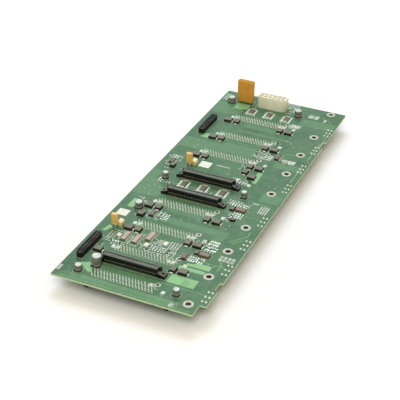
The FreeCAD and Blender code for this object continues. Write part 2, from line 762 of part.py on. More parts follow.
def diode_places():
    """Places and sizes of the pairs on the right, then those on the left."""
    right = []
    left = []
    pair_lines = NEAR_LINES[1:] + FAR_LINES[1:]
    for number, line_y in enumerate(pair_lines):
        near_y = line_y - PAIR_DROP_Y
        right_x = RIGHT_PAIR_X + (SLOT_TWO_RIGHT_SHIFT if number == 0 else 0.0)
        left_x = LEFT_PAIR_X + (SLOT_TWO_LEFT_SHIFT if number == 0 else 0.0)
        right.append((right_x, near_y, DIODE_TURNED_SIZE))
        right.append((right_x + DIODE_TURNED_SIZE[0] + PAIR_GAP + DIODE_TAB_LENGTH, near_y, DIODE_SIZE))
        left.append((left_x, near_y, DIODE_SIZE))
        if number > 0:
            left.append((left_x + DIODE_SIZE[0] + PAIR_GAP + DIODE_TAB_LENGTH, near_y, DIODE_TURNED_SIZE))
    extra_y = FAR_LINES[1] - EXTRA_PAIR_DROP_Y
    right.append((EXTRA_PAIR_X, extra_y + DIODE_SIZE[1], DIODE_TURNED_SIZE))
    right.append((EXTRA_PAIR_X + DIODE_TURNED_SIZE[0] + PAIR_GAP + DIODE_TAB_LENGTH, extra_y, DIODE_SIZE))
    return right, left


def make_diodes():
    right, left = diode_places()
    save_group("moulded_diodes_right", [diode(*place) for place in right])
    save_group("moulded_diodes_left", [diode(*place) for place in left])
    tabs = []
    for place in right + left:
        tabs += diode_tabs(*place)
    save_group("diode_tabs", tabs)


# ----------------------------------------------- flat strip resistors
def make_strip_resistors():
    bodies = []
    ends = []
    for first_x, layout_y in STRIP_ROWS:
        y = along(layout_y)
        for i in range(STRIP_COUNT):
            x = first_x + i * STRIP_PITCH_X
            bodies.append(block(x, y + STRIP_END, BOARD_TOP, STRIP_WIDTH, STRIP_LENGTH - 2 * STRIP_END, STRIP_HEIGHT))
            ends.append(block(x, y, BOARD_TOP, STRIP_WIDTH, STRIP_END, STRIP_HEIGHT))
            ends.append(block(x, y + STRIP_LENGTH - STRIP_END, BOARD_TOP, STRIP_WIDTH, STRIP_END, STRIP_HEIGHT))
    save_group("strip_resistors", bodies)
    save_group("strip_resistor_ends", ends)


# ------------------------------------------------------ leaded packages
def package_body(x, y, length):
    return tapered_block(x, y, BOARD_TOP + PACKAGE_STANDOFF, PACKAGE_WIDTH, length, PACKAGE_HEIGHT, BLOCK_TAPER)


def package_leads(x, y, length):
    """Wings along both long sides, each sloping from the body to the board."""
    leads = int((length - 2 * PACKAGE_END_MARGIN) / LEAD_PITCH) + 1
    first_y = y + length / 2 - (leads - 1) * LEAD_PITCH / 2 - LEAD_WIDTH / 2
    feet = []
    for i in range(leads):
        for body_x, toe_x in ((x, x - LEAD_REACH), (x + PACKAGE_WIDTH, x + PACKAGE_WIDTH + LEAD_REACH)):
            feet.append(side_profile([
                (body_x, BOARD_TOP),
                (toe_x, BOARD_TOP),
                (body_x, BOARD_TOP + LEAD_HEIGHT),
            ], first_y + i * LEAD_PITCH, LEAD_WIDTH))
    return feet


def make_packages():
    feet = []
    for name, places in (("terminator_packages", TERMINATOR_PLACES), ("logic_packages", LOGIC_PLACES)):
        save_group(name, [package_body(x, along(y), length) for x, y, length in places])
        for x, y, length in places:
            feet += package_leads(x, along(y), length)
    save_group("package_feet", feet)


# --------------------------------------------------------- small blocks
def make_small_blocks():
    for name, places in (
        ("oscillator_caps", OSCILLATOR_PLACES),
        ("brown_blocks", BROWN_BLOCK_PLACES),
        ("black_blocks", BLACK_BLOCK_PLACES),
    ):
        solids = []
        for x, y, size_x, size_y, height in places:
            solids.append(tapered_block(x, along(y), BOARD_TOP, size_x, size_y, height, BLOCK_TAPER))
        save_group(name, solids)


def make_chips():
    chips = []
    for (x, y, column_step, row_step), (columns, rows) in zip(CHIP_BANKS, CHIP_BANK_COUNTS):
        for i in range(columns):
            for j in range(rows):
                chips.append(block(x + i * column_step, along(y) + j * row_step, BOARD_TOP,
                                   CHIP_WIDTH, CHIP_LENGTH, CHIP_HEIGHT))
    save_group("chip_resistors", chips)


def make_labels():
    for place, (x, y, size_x, size_y) in LABEL_PLACES.items():
        near_y = along(y) - size_y / 2
        save("blank_label_" + place, block(x, near_y, BOARD_TOP, size_x, size_y, LABEL_THICKNESS))


# -------------------------------------------------------- indicator lamps
def make_lamps():
    blocks = []
    lenses = []
    block_x = BOARD_WIDTH - LAMP_BLOCK_EDGE - LAMP_BLOCK_WIDTH
    block_z = BOARD_BOTTOM - LAMP_BLOCK_HEIGHT
    centre_x = block_x + LAMP_BLOCK_WIDTH / 2
    for line_y in SLOT_LINES:
        near_y = line_y + LAMP_OFFSET_Y
        blocks.append(block(block_x, near_y, block_z, LAMP_BLOCK_WIDTH, LAMP_BLOCK_LENGTH, LAMP_BLOCK_HEIGHT))
        for i in range(LAMP_COUNT):
            centre_y = near_y + LAMP_BLOCK_LENGTH / 2 + (i - (LAMP_COUNT - 1) / 2) * LAMP_PITCH
            lenses.append(plate(round_outline(centre_x, centre_y, LAMP_DIAMETER, LAMP_SIDES),
                                block_z - LAMP_PROUD, LAMP_PROUD))
    save_group("lamp_blocks", blocks)
    save_group("lamp_lenses", lenses)


make_board()
make_lands()
make_drive_connectors()
make_cable_connectors()
make_side_headers()
make_power_connector()
make_big_fuse()
make_small_fuses()
make_capacitors()
make_diodes()
make_strip_resistors()
make_packages()
make_small_blocks()
make_chips()
make_labels()
make_lamps()
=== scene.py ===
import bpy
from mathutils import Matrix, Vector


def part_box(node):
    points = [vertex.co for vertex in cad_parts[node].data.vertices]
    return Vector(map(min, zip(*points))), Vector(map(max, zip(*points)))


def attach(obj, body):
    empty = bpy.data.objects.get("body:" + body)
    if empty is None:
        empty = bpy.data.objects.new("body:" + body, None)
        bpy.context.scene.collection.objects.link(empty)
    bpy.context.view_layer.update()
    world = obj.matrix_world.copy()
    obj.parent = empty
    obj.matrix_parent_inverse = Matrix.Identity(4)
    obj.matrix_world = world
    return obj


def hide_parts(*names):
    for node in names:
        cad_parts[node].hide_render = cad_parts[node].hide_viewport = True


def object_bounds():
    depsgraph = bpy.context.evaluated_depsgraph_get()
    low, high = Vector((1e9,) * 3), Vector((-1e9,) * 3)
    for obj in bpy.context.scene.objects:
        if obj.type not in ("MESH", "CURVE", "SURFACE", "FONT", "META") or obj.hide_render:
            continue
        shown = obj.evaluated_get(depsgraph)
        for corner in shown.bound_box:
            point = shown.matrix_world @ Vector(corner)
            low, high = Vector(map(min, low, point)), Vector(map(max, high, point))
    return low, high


bl_info = {
    "name": "Drive Backplane Board",
    "version": (1, 0, 0),
    "blender": (4, 5, 0),
    "location": "View3D > Sidebar > Backplane",
    "description": "Dresses a drive backplane board with solder, tracks, contacts, print and finishes",
    "category": "Object",
}

import math
import random

import bmesh
import bpy
from bpy.props import FloatProperty, FloatVectorProperty, PointerProperty
from mathutils import Matrix, Vector

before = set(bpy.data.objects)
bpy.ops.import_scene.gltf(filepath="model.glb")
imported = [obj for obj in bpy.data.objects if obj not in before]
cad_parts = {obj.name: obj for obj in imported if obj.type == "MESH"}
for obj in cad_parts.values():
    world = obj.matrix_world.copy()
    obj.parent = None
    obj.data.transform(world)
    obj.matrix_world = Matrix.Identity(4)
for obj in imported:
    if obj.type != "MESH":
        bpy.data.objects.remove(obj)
CAD_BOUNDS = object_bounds()
BOARD_LOW, BOARD_HIGH = (Vector(corner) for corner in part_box("circuit_board"))
DRIVE_NODES = ["drive_connector_%d" % number for number in range(1, 8)]
CABLE_NODES = ["cable_connector_%d" % number for number in range(1, 4)]

DRIVE_ROW_CONTACTS = 40
CABLE_ROW_CONTACTS = 34
HOLE_RADIUS = 0.002
PRINT_HEIGHT = 0.00003

# In millimetres: from the start of a slot's strip to its lamp block's middle, and between tracks.
STRIP_TO_LAMP = 12.9
TRACK_STEP = 1.27


# ------------------------------------------------------------------ places
def spot(x, y, z=0.0):
    """Point over the board: millimetres from its near left corner and its top."""
    return Vector((BOARD_LOW.x + x / 1000, BOARD_LOW.y + y / 1000, BOARD_HIGH.z + z / 1000))


def under(x, y, z=0.0):
    """The same below the board, with z measured down from its underside."""
    return Vector((BOARD_LOW.x + x / 1000, BOARD_LOW.y + y / 1000, BOARD_LOW.z - z / 1000))


def board_place(point):
    """The reverse of spot: millimetres across and along the board."""
    return (point.x - BOARD_LOW.x) * 1000, (point.y - BOARD_LOW.y) * 1000


def node_box(node):
    """Lowest and highest corner of a whole CAD node."""
    return [Vector(corner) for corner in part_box(node)]


def solid_boxes(node):
    """Lowest and highest corner of each separate solid in a CAD node."""
    shape = bmesh.new()
    shape.from_mesh(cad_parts[node].data)
    bmesh.ops.remove_doubles(shape, verts=shape.verts, dist=0.000002)
    boxes = []
    seen = set()
    for start in shape.verts:
        if start in seen:
            continue
        seen.add(start)
        waiting = [start]
        group = []
        while waiting:
            vertex = waiting.pop()
            group.append(vertex.co.copy())
            for edge in vertex.link_edges:
                other = edge.other_vert(vertex)
                if other not in seen:
                    seen.add(other)
                    waiting.append(other)
        low = Vector([min(p[axis] for p in group) for axis in range(3)])
        high = Vector([max(p[axis] for p in group) for axis in range(3)])
        boxes.append((low, high))
    shape.free()
    return boxes


def middle(low, high, z):
    """Point at height z over the middle of a box."""
    return Vector(((low.x + high.x) / 2, (low.y + high.y) / 2, z))


def strip_starts():
    """Millimetres along the board of the eight slot strips, told from their lamp blocks."""
    edges = []
    for y in sorted(round(v.co.y, 5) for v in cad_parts["lamp_blocks"].data.vertices):
        if not edges or y - edges[-1] > 0.001:  # one corner row for each side of a block
            edges.append(y)
    middles = [(near + far) / 2 for near, far in zip(edges[::2], edges[1::2])]
    return [(y - BOARD_LOW.y) * 1000 - STRIP_TO_LAMP for y in middles]


# ----------------------------------------------------------------- objects
def new_object(name, mesh):
    obj = bpy.data.objects.new(name, mesh)
    bpy.context.scene.collection.objects.link(obj)
    return obj


def settle(obj, replaced=()):
    """Lets a finished piece ride on the board and stand for its CAD nodes."""
    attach(obj, "root")
    if replaced:
        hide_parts(*replaced)
    return obj


def lay(name, base, tree, values, replaced=()):
    """Settles the piece that a tree makes of a base object."""
    return settle(run_tree(base, tree, name, values), replaced)


def plain_mesh(obj, name):
    """Turns an object with modifiers into a plain mesh object of this name."""
    depsgraph = bpy.context.evaluated_depsgraph_get()
    mesh = bpy.data.meshes.new_from_object(obj.evaluated_get(depsgraph))
    old = obj.data
    bpy.data.objects.remove(obj)
    if old.users == 0:
        bpy.data.meshes.remove(old)
    mesh.name = name
    return new_object(name, mesh)


def finish_node(node, material):
    """Gives this material to a CAD node that no piece stands for."""
    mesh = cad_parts[node].data
    if mesh.materials:
        for index in range(len(mesh.materials)):
            mesh.materials[index] = material
    else:
        mesh.materials.append(material)


def rounded_copy(node, name, material, radius, segments=2):
    """Copy of a CAD node with merged corners and rounded edges, which stands for it."""
    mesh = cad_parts[node].data.copy()
    mesh.materials.clear()
    mesh.materials.append(material)
    shape = bmesh.new()
    shape.from_mesh(mesh)
    bmesh.ops.remove_doubles(shape, verts=shape.verts, dist=0.000002)
    bmesh.ops.dissolve_limit(shape, angle_limit=math.radians(1), verts=shape.verts, edges=shape.edges)
    bmesh.ops.connect_verts_concave(shape, faces=shape.faces)
    bmesh.ops.recalc_face_normals(shape, faces=shape.faces)
    for face in shape.faces:
        face.material_index = 0
        face.smooth = True
    shape.to_mesh(mesh)
    shape.free()
    obj = new_object(name + "_base", mesh)
    bevel = obj.modifiers.new("Edges", "BEVEL")
    bevel.width = radius / 1000
    bevel.segments = segments
    bevel.limit_method = "ANGLE"
    bevel.angle_limit = math.radians(30)
    bevel.harden_normals = True
    return settle(plain_mesh(obj, name), [node])


def lathe(shape, outline, centre, steps):
    """Turns a (radius, height) outline in millimetres round an upright axis."""
    rings = []
    for radius, height in outline:
        if radius < 0.0001:
            rings.append([shape.verts.new(centre + Vector((0, 0, height / 1000)))])
            continue
        ring = []
        for step in range(steps):
            turn = 2 * math.pi * step / steps
            place = Vector((radius * math.cos(turn), radius * math.sin(turn), height))
            ring.append(shape.verts.new(centre + place / 1000))
        rings.append(ring)
    for lower, upper in zip(rings, rings[1:]):
        for step in range(steps):
            after = (step + 1) % steps
            corners = [lower[step % len(lower)], lower[after % len(lower)],
                       upper[after % len(upper)], upper[step % len(upper)]]
            unique = []
            for corner in corners:
                if corner not in unique:
                    unique.append(corner)
            if len(unique) > 2:
                shape.faces.new(unique).smooth = True


def mesh_from(shape, name, material):
    """Ends a bmesh shape and returns it as a mesh of this material."""
    bmesh.ops.recalc_face_normals(shape, faces=shape.faces)
    mesh = bpy.data.meshes.new(name)
    shape.to_mesh(mesh)
    shape.free()
    mesh.materials.append(material)
    return mesh


# ---------------------------------------------------- geometry node trees
def start_tree(name, inputs):
    """New tree with a geometry input and these (name, kind, default) inputs."""
    tree = bpy.data.node_groups.new(name, "GeometryNodeTree")
    tree.interface.new_socket("Geometry", in_out="INPUT", socket_type="NodeSocketGeometry")
    for label, kind, default in inputs:
        socket = tree.interface.new_socket(label, in_out="INPUT", socket_type=kind)
        if default is not None:
            socket.default_value = default
    tree.interface.new_socket("Geometry", in_out="OUTPUT", socket_type="NodeSocketGeometry")
    return tree, tree.nodes.new("NodeGroupInput"), tree.nodes.new("NodeGroupOutput")


def add_node(tree, kind, values=None, **settings):
    """New node; each value is a number for its input or a socket to link to it."""
    node = tree.nodes.new(kind)
    for key, value in settings.items():
        setattr(node, key, value)
    for key, value in (values or {}).items():
        socket = node.inputs[key]
        if isinstance(value, bpy.types.NodeSocket):
            tree.links.new(value, socket)
        else:
            socket.default_value = value
    return node


def run_tree(base, tree, name, values):
    """Gives base the tree with these input values and keeps the result as a mesh."""
    modifier = base.modifiers.new("Repeat", "NODES")
    modifier.node_group = tree
    identifiers = {item.name: item.identifier for item in tree.interface.items_tree
                   if item.item_type == "SOCKET" and item.in_out == "INPUT"}
    for label, value in values.items():
        modifier[identifiers[label]] = value
    return plain_mesh(base, name)


def points_object(places, turns=()):
    """Loose points for a tree, each with its turn on the board in degrees, or none."""
    mesh = bpy.data.meshes.new("places")
    mesh.from_pydata(places, [], [])
    angles = mesh.attributes.new("turn", "FLOAT", "POINT")
    for index, turn in enumerate(turns):
        angles.data[index].value = math.radians(turn)
    return new_object("places", mesh)


def lines_object(lines):
    """Loose polylines for a tree: each line is (points, closed)."""
    vertices = []
    edges = []
    for points, closed in lines:
        first = len(vertices)
        vertices += points
        edges += [(first + i, first + i + 1) for i in range(len(points) - 1)]
        if closed:
            edges.append((first + len(points) - 1, first))
    mesh = bpy.data.meshes.new("lines")
    mesh.from_pydata(vertices, edges, [])
    return new_object("lines", mesh)


def realised(tree, instances):
    """Real geometry in place of the instances."""
    return add_node(tree, "GeometryNodeRealizeInstances", {"Geometry": instances}).outputs["Geometry"]


def finish_tree(tree, given, result, geometry):
    """Ends a tree: real geometry with the given material."""
    painted = add_node(tree, "GeometryNodeSetMaterial", {
        "Geometry": realised(tree, geometry), "Material": given.outputs["Material"]})
    tree.links.new(painted.outputs["Geometry"], result.inputs["Geometry"])
    return tree


def swept(tree, curve, width, height, caps=False):
    """Rectangle of this width and height led along a curve."""
    profile = add_node(tree, "GeometryNodeCurvePrimitiveQuadrilateral", {
        "Width": width, "Height": height}, mode="RECTANGLE")
    tube = add_node(tree, "GeometryNodeCurveToMesh", {
        "Curve": curve, "Profile Curve": profile.outputs["Curve"], "Fill Caps": caps})
    return tube.outputs["Mesh"]


def row_tree(name, sizes, build_piece, seed, wobble=0.0):
    """Tree that lays rows from the base points and sets one piece on every place."""
    inputs = [("Count", "NodeSocketInt", 1), ("Step", "NodeSocketVector", None),
              ("Material", "NodeSocketMaterial", None)]
    inputs += [(label, "NodeSocketFloat", default) for label, default in sizes]
    tree, given, result = start_tree(name, inputs)
    row = add_node(tree, "GeometryNodeMeshLine", {
        "Count": given.outputs["Count"], "Offset": given.outputs["Step"]}, mode="OFFSET")
    rows = add_node(tree, "GeometryNodeInstanceOnPoints", {
        "Points": given.outputs["Geometry"], "Instance": row.outputs["Mesh"]})
    places = realised(tree, rows.outputs["Instances"])
    piece = build_piece(tree, given)
    turn = add_node(tree, "GeometryNodeInputNamedAttribute", {"Name": "turn"}, data_type="FLOAT")
    lean = add_node(tree, "FunctionNodeRandomValue", {
        "Min": (-wobble, -wobble, 0.0), "Max": (wobble, wobble, 0.0), "Seed": seed},
        data_type="FLOAT_VECTOR")
    upright = add_node(tree, "ShaderNodeCombineXYZ", {"Z": turn.outputs["Attribute"]})
    facing = add_node(tree, "ShaderNodeVectorMath", {
        0: lean.outputs["Value"], 1: upright.outputs["Vector"]}, operation="ADD")
    scale = add_node(tree, "FunctionNodeRandomValue", {
        "Min": (1 - wobble, 1 - wobble, 1 - wobble), "Max": (1.0, 1.0, 1.0), "Seed": seed + 1},
        data_type="FLOAT_VECTOR")
    pieces = add_node(tree, "GeometryNodeInstanceOnPoints", {
        "Points": places, "Instance": piece,
        "Rotation": facing.outputs["Vector"], "Scale": scale.outputs["Value"]})
    return finish_tree(tree, given, result, pieces.outputs["Instances"])


def offset_up(tree, height):
    """Vector that lifts by this height socket."""
    return add_node(tree, "ShaderNodeCombineXYZ", {"Z": height}).outputs["Vector"]


def maths(tree, operation, first, second=0.0):
    """Result of this operation on two values, each a number or a socket."""
    node = add_node(tree, "ShaderNodeMath", {0: first, 1: second}, operation=operation)
    return node.outputs["Value"]


def moved(tree, geometry, translation):
    node = add_node(tree, "GeometryNodeTransform", {"Geometry": geometry, "Translation": translation})
    return node.outputs["Geometry"]


def joined(tree, *parts):
    node = tree.nodes.new("GeometryNodeJoinGeometry")
    for part in reversed(parts):
        tree.links.new(part, node.inputs["Geometry"])
    return node.outputs["Geometry"]


def cone_piece(tree, sides, low, high, height):
    """Cone that stands on its base; its size values are numbers or sockets."""
    cone = add_node(tree, "GeometryNodeMeshCone", {
        "Vertices": sides, "Radius Top": high, "Radius Bottom": low, "Depth": height})
    return cone.outputs["Mesh"]


def pin_piece(tree, given):
    """Cut pin that stands in a cone of solder with a hollow flank."""
    thin, waist, wide = (given.outputs[size] for size in ("Pin radius", "Solder waist", "Solder radius"))
    height = given.outputs["Solder height"]
    pin = cone_piece(tree, 6, thin, thin, given.outputs["Pin height"])
    foot = cone_piece(tree, 10, wide, waist, height)
    neck = cone_piece(tree, 8, waist, thin, height)
    return joined(tree, pin, foot, moved(tree, neck, offset_up(tree, height)))


PIN_SIZES = [("Pin radius", 0.00022), ("Pin height", 0.0018), ("Solder radius", 0.0007),
             ("Solder waist", 0.00042), ("Solder height", 0.00045)]


def bar_piece(tree, given):
    """Square bar, standing on its base."""
    height = given.outputs["Height"]
    size = add_node(tree, "ShaderNodeCombineXYZ", {
        "X": given.outputs["Width"], "Y": given.outputs["Depth"], "Z": height})
    cube = add_node(tree, "GeometryNodeMeshCube", {"Size": size.outputs["Vector"]})
    return moved(tree, cube.outputs["Mesh"], offset_up(tree, maths(tree, "MULTIPLY", height, 0.5)))


BAR_SIZES = [("Width", 0.0005), ("Depth", 0.0005), ("Height", 0.003)]


def ring_piece(tree, given):
    """Flat ring, from a small rectangle led round a circle."""
    ring = add_node(tree, "GeometryNodeCurvePrimitiveCircle", {
        "Resolution": 40, "Radius": given.outputs["Radius"]}, mode="RADIUS")
    return swept(tree, ring.outputs["Curve"], given.outputs["Breadth"], given.outputs["Thickness"])


RING_SIZES = [("Radius", 0.003), ("Breadth", 0.002), ("Thickness", 0.0001)]


def ribbon_tree(name):
    """Tree that leads a flat section along the base lines."""
    tree, given, result = start_tree(name, [
        ("Width", "NodeSocketFloat", 0.0003), ("Thickness", "NodeSocketFloat", 0.00003),
        ("Material", "NodeSocketMaterial", None)])
    curve = add_node(tree, "GeometryNodeMeshToCurve", {"Mesh": given.outputs["Geometry"]})
    flat = add_node(tree, "GeometryNodeSetCurveNormal", {"Curve": curve.outputs["Curve"]}, mode="Z_UP")
    ribbon = swept(tree, flat.outputs["Curve"], given.outputs["Width"], given.outputs["Thickness"], True)
    return finish_tree(tree, given, result, ribbon)


# --------------------------------------------------------- shader helpers
def shader_group(name, inputs, outputs):
    tree = bpy.data.node_groups.new(name, "ShaderNodeTree")
    for label, kind, default in inputs:
        socket = tree.interface.new_socket(label, in_out="INPUT", socket_type=kind)
        socket.default_value = default
    for label, kind in outputs:
        tree.interface.new_socket(label, in_out="OUTPUT", socket_type=kind)
    return tree, tree.nodes.new("NodeGroupInput"), tree.nodes.new("NodeGroupOutput")


def ramp(tree, factor, low, high):
    """Maps a value from low..high to 0..1 and clamps it."""
    node = add_node(tree, "ShaderNodeMapRange", {"Value": factor, "From Min": low, "From Max": high})
    return node.outputs["Result"]


def mix_colour(tree, factor, first, second):
    """First colour where the factor is 0, second where it is 1."""
    return add_node(tree, "ShaderNodeMix", {0: factor, 6: first, 7: second}, data_type="RGBA").outputs[2]


def opaque(colour, share=1.0):
    """Colour for a socket: red, green and blue times a share, and full alpha."""
    return [value * share for value in colour] + [1.0]


def noise(tree, scale, detail, roughness=0.5):
    """Cloudy value of 0 to 1 that is fixed to the object."""
    place = add_node(tree, "ShaderNodeTexCoord")
    cloud = add_node(tree, "ShaderNodeTexNoise", {
        "Vector": place.outputs["Object"], "Scale": scale, "Detail": detail, "Roughness": roughness})
    return cloud.outputs["Fac"]


def waves(tree, axis, scale, distortion):
    """Striped value of 0 to 1 across this axis of the object."""
    place = add_node(tree, "ShaderNodeTexCoord")
    stripes = add_node(tree, "ShaderNodeTexWave", {
        "Vector": place.outputs["Object"], "Scale": scale, "Distortion": distortion},
        wave_type="BANDS", bands_direction=axis)
    return stripes.outputs["Fac"]


def roughen(tree, surface, value, low, high):
    """Lets a value of 0 to 1 steer the roughness from low to high."""
    rough = add_node(tree, "ShaderNodeMapRange", {"Value": value, "To Min": low, "To Max": high})
    tree.links.new(rough.outputs["Result"], surface.inputs["Roughness"])


def emboss(tree, surface, strength, distance, height, **more):
    """Lets a height value raise the surface."""
    values = dict(more, Strength=strength, Distance=distance, Height=height)
    bumped = add_node(tree, "ShaderNodeBump", values)
    tree.links.new(bumped.outputs["Normal"], surface.inputs["Normal"])


def mottle_group():
    """Soft cloudy tone, with a finer grain laid over it."""
    tree, given, result = shader_group("Mottle", [
        ("Scale", "NodeSocketFloat", 60.0), ("Fine", "NodeSocketFloat", 900.0),
        ("Share", "NodeSocketFloat", 0.35)], [("Tone", "NodeSocketFloat"), ("Grain", "NodeSocketFloat")])
    broad = noise(tree, given.outputs["Scale"], 4.0, 0.6)
    fine = noise(tree, given.outputs["Fine"], 3.0, 0.6)
    tone = add_node(tree, "ShaderNodeMix", {0: given.outputs["Share"], 2: broad, 3: fine}, data_type="FLOAT")
    tree.links.new(ramp(tree, tone.outputs[0], 0.3, 0.7), result.inputs["Tone"])
    tree.links.new(fine, result.inputs["Grain"])
    return tree


def edge_group():
    """Mask of the edges, which the materials paint lighter as rubbed wear and as a painted edge highlight,
    and a normal that rounds them.
    """
    tree, given, result = shader_group("Edge Wear And Highlight", [
        ("Radius", "NodeSocketFloat", 0.0002), ("Breakup", "NodeSocketFloat", 0.4)],
        [("Mask", "NodeSocketFloat"), ("Normal", "NodeSocketVector")])
    soft = add_node(tree, "ShaderNodeBevel", {"Radius": given.outputs["Radius"]}, samples=4)
    true = add_node(tree, "ShaderNodeNewGeometry")
    likeness = add_node(tree, "ShaderNodeVectorMath", {
        0: soft.outputs["Normal"], 1: true.outputs["Normal"]}, operation="DOT_PRODUCT")
    edge = ramp(tree, likeness.outputs["Value"], 0.995, 0.9)
    broken = ramp(tree, noise(tree, 500.0, 3.0), given.outputs["Breakup"], 0.7)
    tree.links.new(maths(tree, "MULTIPLY", edge, broken), result.inputs["Mask"])
    tree.links.new(soft.outputs["Normal"], result.inputs["Normal"])
    return tree


def dust_group():
    """Mask of fine dust on faces that look up, and a plain mask of those faces, which carries painted top
    shading and painted flank shade in the materials.
    """
    tree, given, result = shader_group("Dust", [
        ("Amount", "NodeSocketFloat", 0.3)], [("Mask", "NodeSocketFloat"), ("Up", "NodeSocketFloat")])
    spots = ramp(tree, noise(tree, 260.0, 6.0, 0.7), 0.45, 0.75)
    true = add_node(tree, "ShaderNodeNewGeometry")
    split = add_node(tree, "ShaderNodeSeparateXYZ", {"Vector": true.outputs["Normal"]})
    up = ramp(tree, split.outputs["Z"], 0.2, 0.95)
    mask = maths(tree, "MULTIPLY", maths(tree, "MULTIPLY", spots, up), given.outputs["Amount"])
    tree.links.new(mask, result.inputs["Mask"])
    tree.links.new(up, result.inputs["Up"])
    return tree


def shared(name):
    """The effect group of this name, built the first time that it is asked for."""
    builders = {"Mottle": mottle_group, "Edge Wear And Highlight": edge_group, "Dust": dust_group}
    return bpy.data.node_groups.get(name) or builders[name]()


def use_group(tree, name, **values):
    """Node that holds a shared effect group, with these values in its inputs."""
    node = tree.nodes.new("ShaderNodeGroup")
    node.node_tree = shared(name)
    for key, value in values.items():
        node.inputs[key].default_value = value
    return node


def start_material(name):
    material = bpy.data.materials.new(name)
    material.use_nodes = True
    tree = material.node_tree
    surface = tree.nodes["Principled BSDF"]
    return material, tree, surface


DUST = (0.42, 0.41, 0.37, 1.0)
DUST_ON_MASK = (0.42, 0.43, 0.36, 1.0)
# Sawn edge colours: laminate layers, lightened as a painted highlight along the board's sides.
LAMINATE_DARK_WITH_HIGHLIGHT = (0.34, 0.52, 0.30, 1.0)
LAMINATE_PALE_WITH_HIGHLIGHT = (0.60, 0.76, 0.50, 1.0)


# The names of the finishes differ from the names of the materials that come with model.glb, which a finish of
# the same name would return instead.
def moulded(name, colour, edge_wear_and_highlight_colour, roughness=0.45, coat=0.0, scale=140.0, bump=0.2, edge=0.00012,
            painted_top_shading=None, gloss=0.5, dusty=0.25):
    """Moulded plastic or dipped resin: cloudy tone, fine grain, edges painted lighter as rubbed wear and
    painted edge highlight, and upward faces painted in their own top colour as painted sheen and shade.
    """
    made = bpy.data.materials.get(name)
    if made:
        return made
    material, tree, surface = start_material(name)
    mottle = use_group(tree, "Mottle", Scale=scale, Fine=1600.0, Share=0.4)
    edge_wear_and_highlight = use_group(tree, "Edge Wear And Highlight", Radius=edge)
    dust = use_group(tree, "Dust", Amount=dusty)
    tone, grain = mottle.outputs
    light = [min(1.0, value) for value in opaque(colour, 1.14)]
    base = mix_colour(tree, tone, opaque(colour, 0.8), light)
    # Upward faces take their own colour here: painted top shading, a painted sheen on most parts and a
    # painted darker top on the orange fuse.
    if painted_top_shading:
        base = mix_colour(tree, dust.outputs["Up"], base,
                          mix_colour(tree, tone, opaque(painted_top_shading, 0.75), opaque(painted_top_shading, 1.2)))
    # Edges take a lighter colour: rubbed wear and painted edge highlight.
    base = mix_colour(tree, edge_wear_and_highlight.outputs["Mask"], base, opaque(edge_wear_and_highlight_colour))
    base = mix_colour(tree, dust.outputs["Mask"], base, DUST)
    tree.links.new(base, surface.inputs["Base Color"])
    roughen(tree, surface, grain, roughness - 0.08, roughness + 0.12)
    emboss(tree, surface, bump, 0.00003, grain, Normal=edge_wear_and_highlight.outputs["Normal"])
    surface.inputs["Specular IOR Level"].default_value = gloss
    surface.inputs["Coat Weight"].default_value = coat
    surface.inputs["Coat Roughness"].default_value = 0.15
    return material


def metal(name, colour, roughness=0.25, scale=700.0, tarnish=(0.35, 0.36, 0.3), share=0.3, shine=0.9,
          flank=None):
    """Bright plating, solder or can metal with dull patches, and flanks painted darker where asked, a painted
    reflection of the dark surroundings.
    """
    made = bpy.data.materials.get(name)
    if made:
        return made
    material, tree, surface = start_material(name)
    mottle = use_group(tree, "Mottle", Scale=scale, Fine=4200.0, Share=0.3)
    tone, grain = mottle.outputs
    base = mix_colour(tree, maths(tree, "MULTIPLY", tone, share), opaque(colour), opaque(tarnish))
    # Sides that do not look up take the flank colour: painted reflection of the dark board and surroundings.
    if flank:
        up = use_group(tree, "Dust", Amount=0.0).outputs["Up"]
        base = mix_colour(tree, up, opaque(flank), base)
    tree.links.new(base, surface.inputs["Base Color"])
    surface.inputs["Metallic"].default_value = shine
    roughen(tree, surface, tone, roughness, roughness + 0.25)
    emboss(tree, surface, 0.25, 0.00002, grain)
    return material


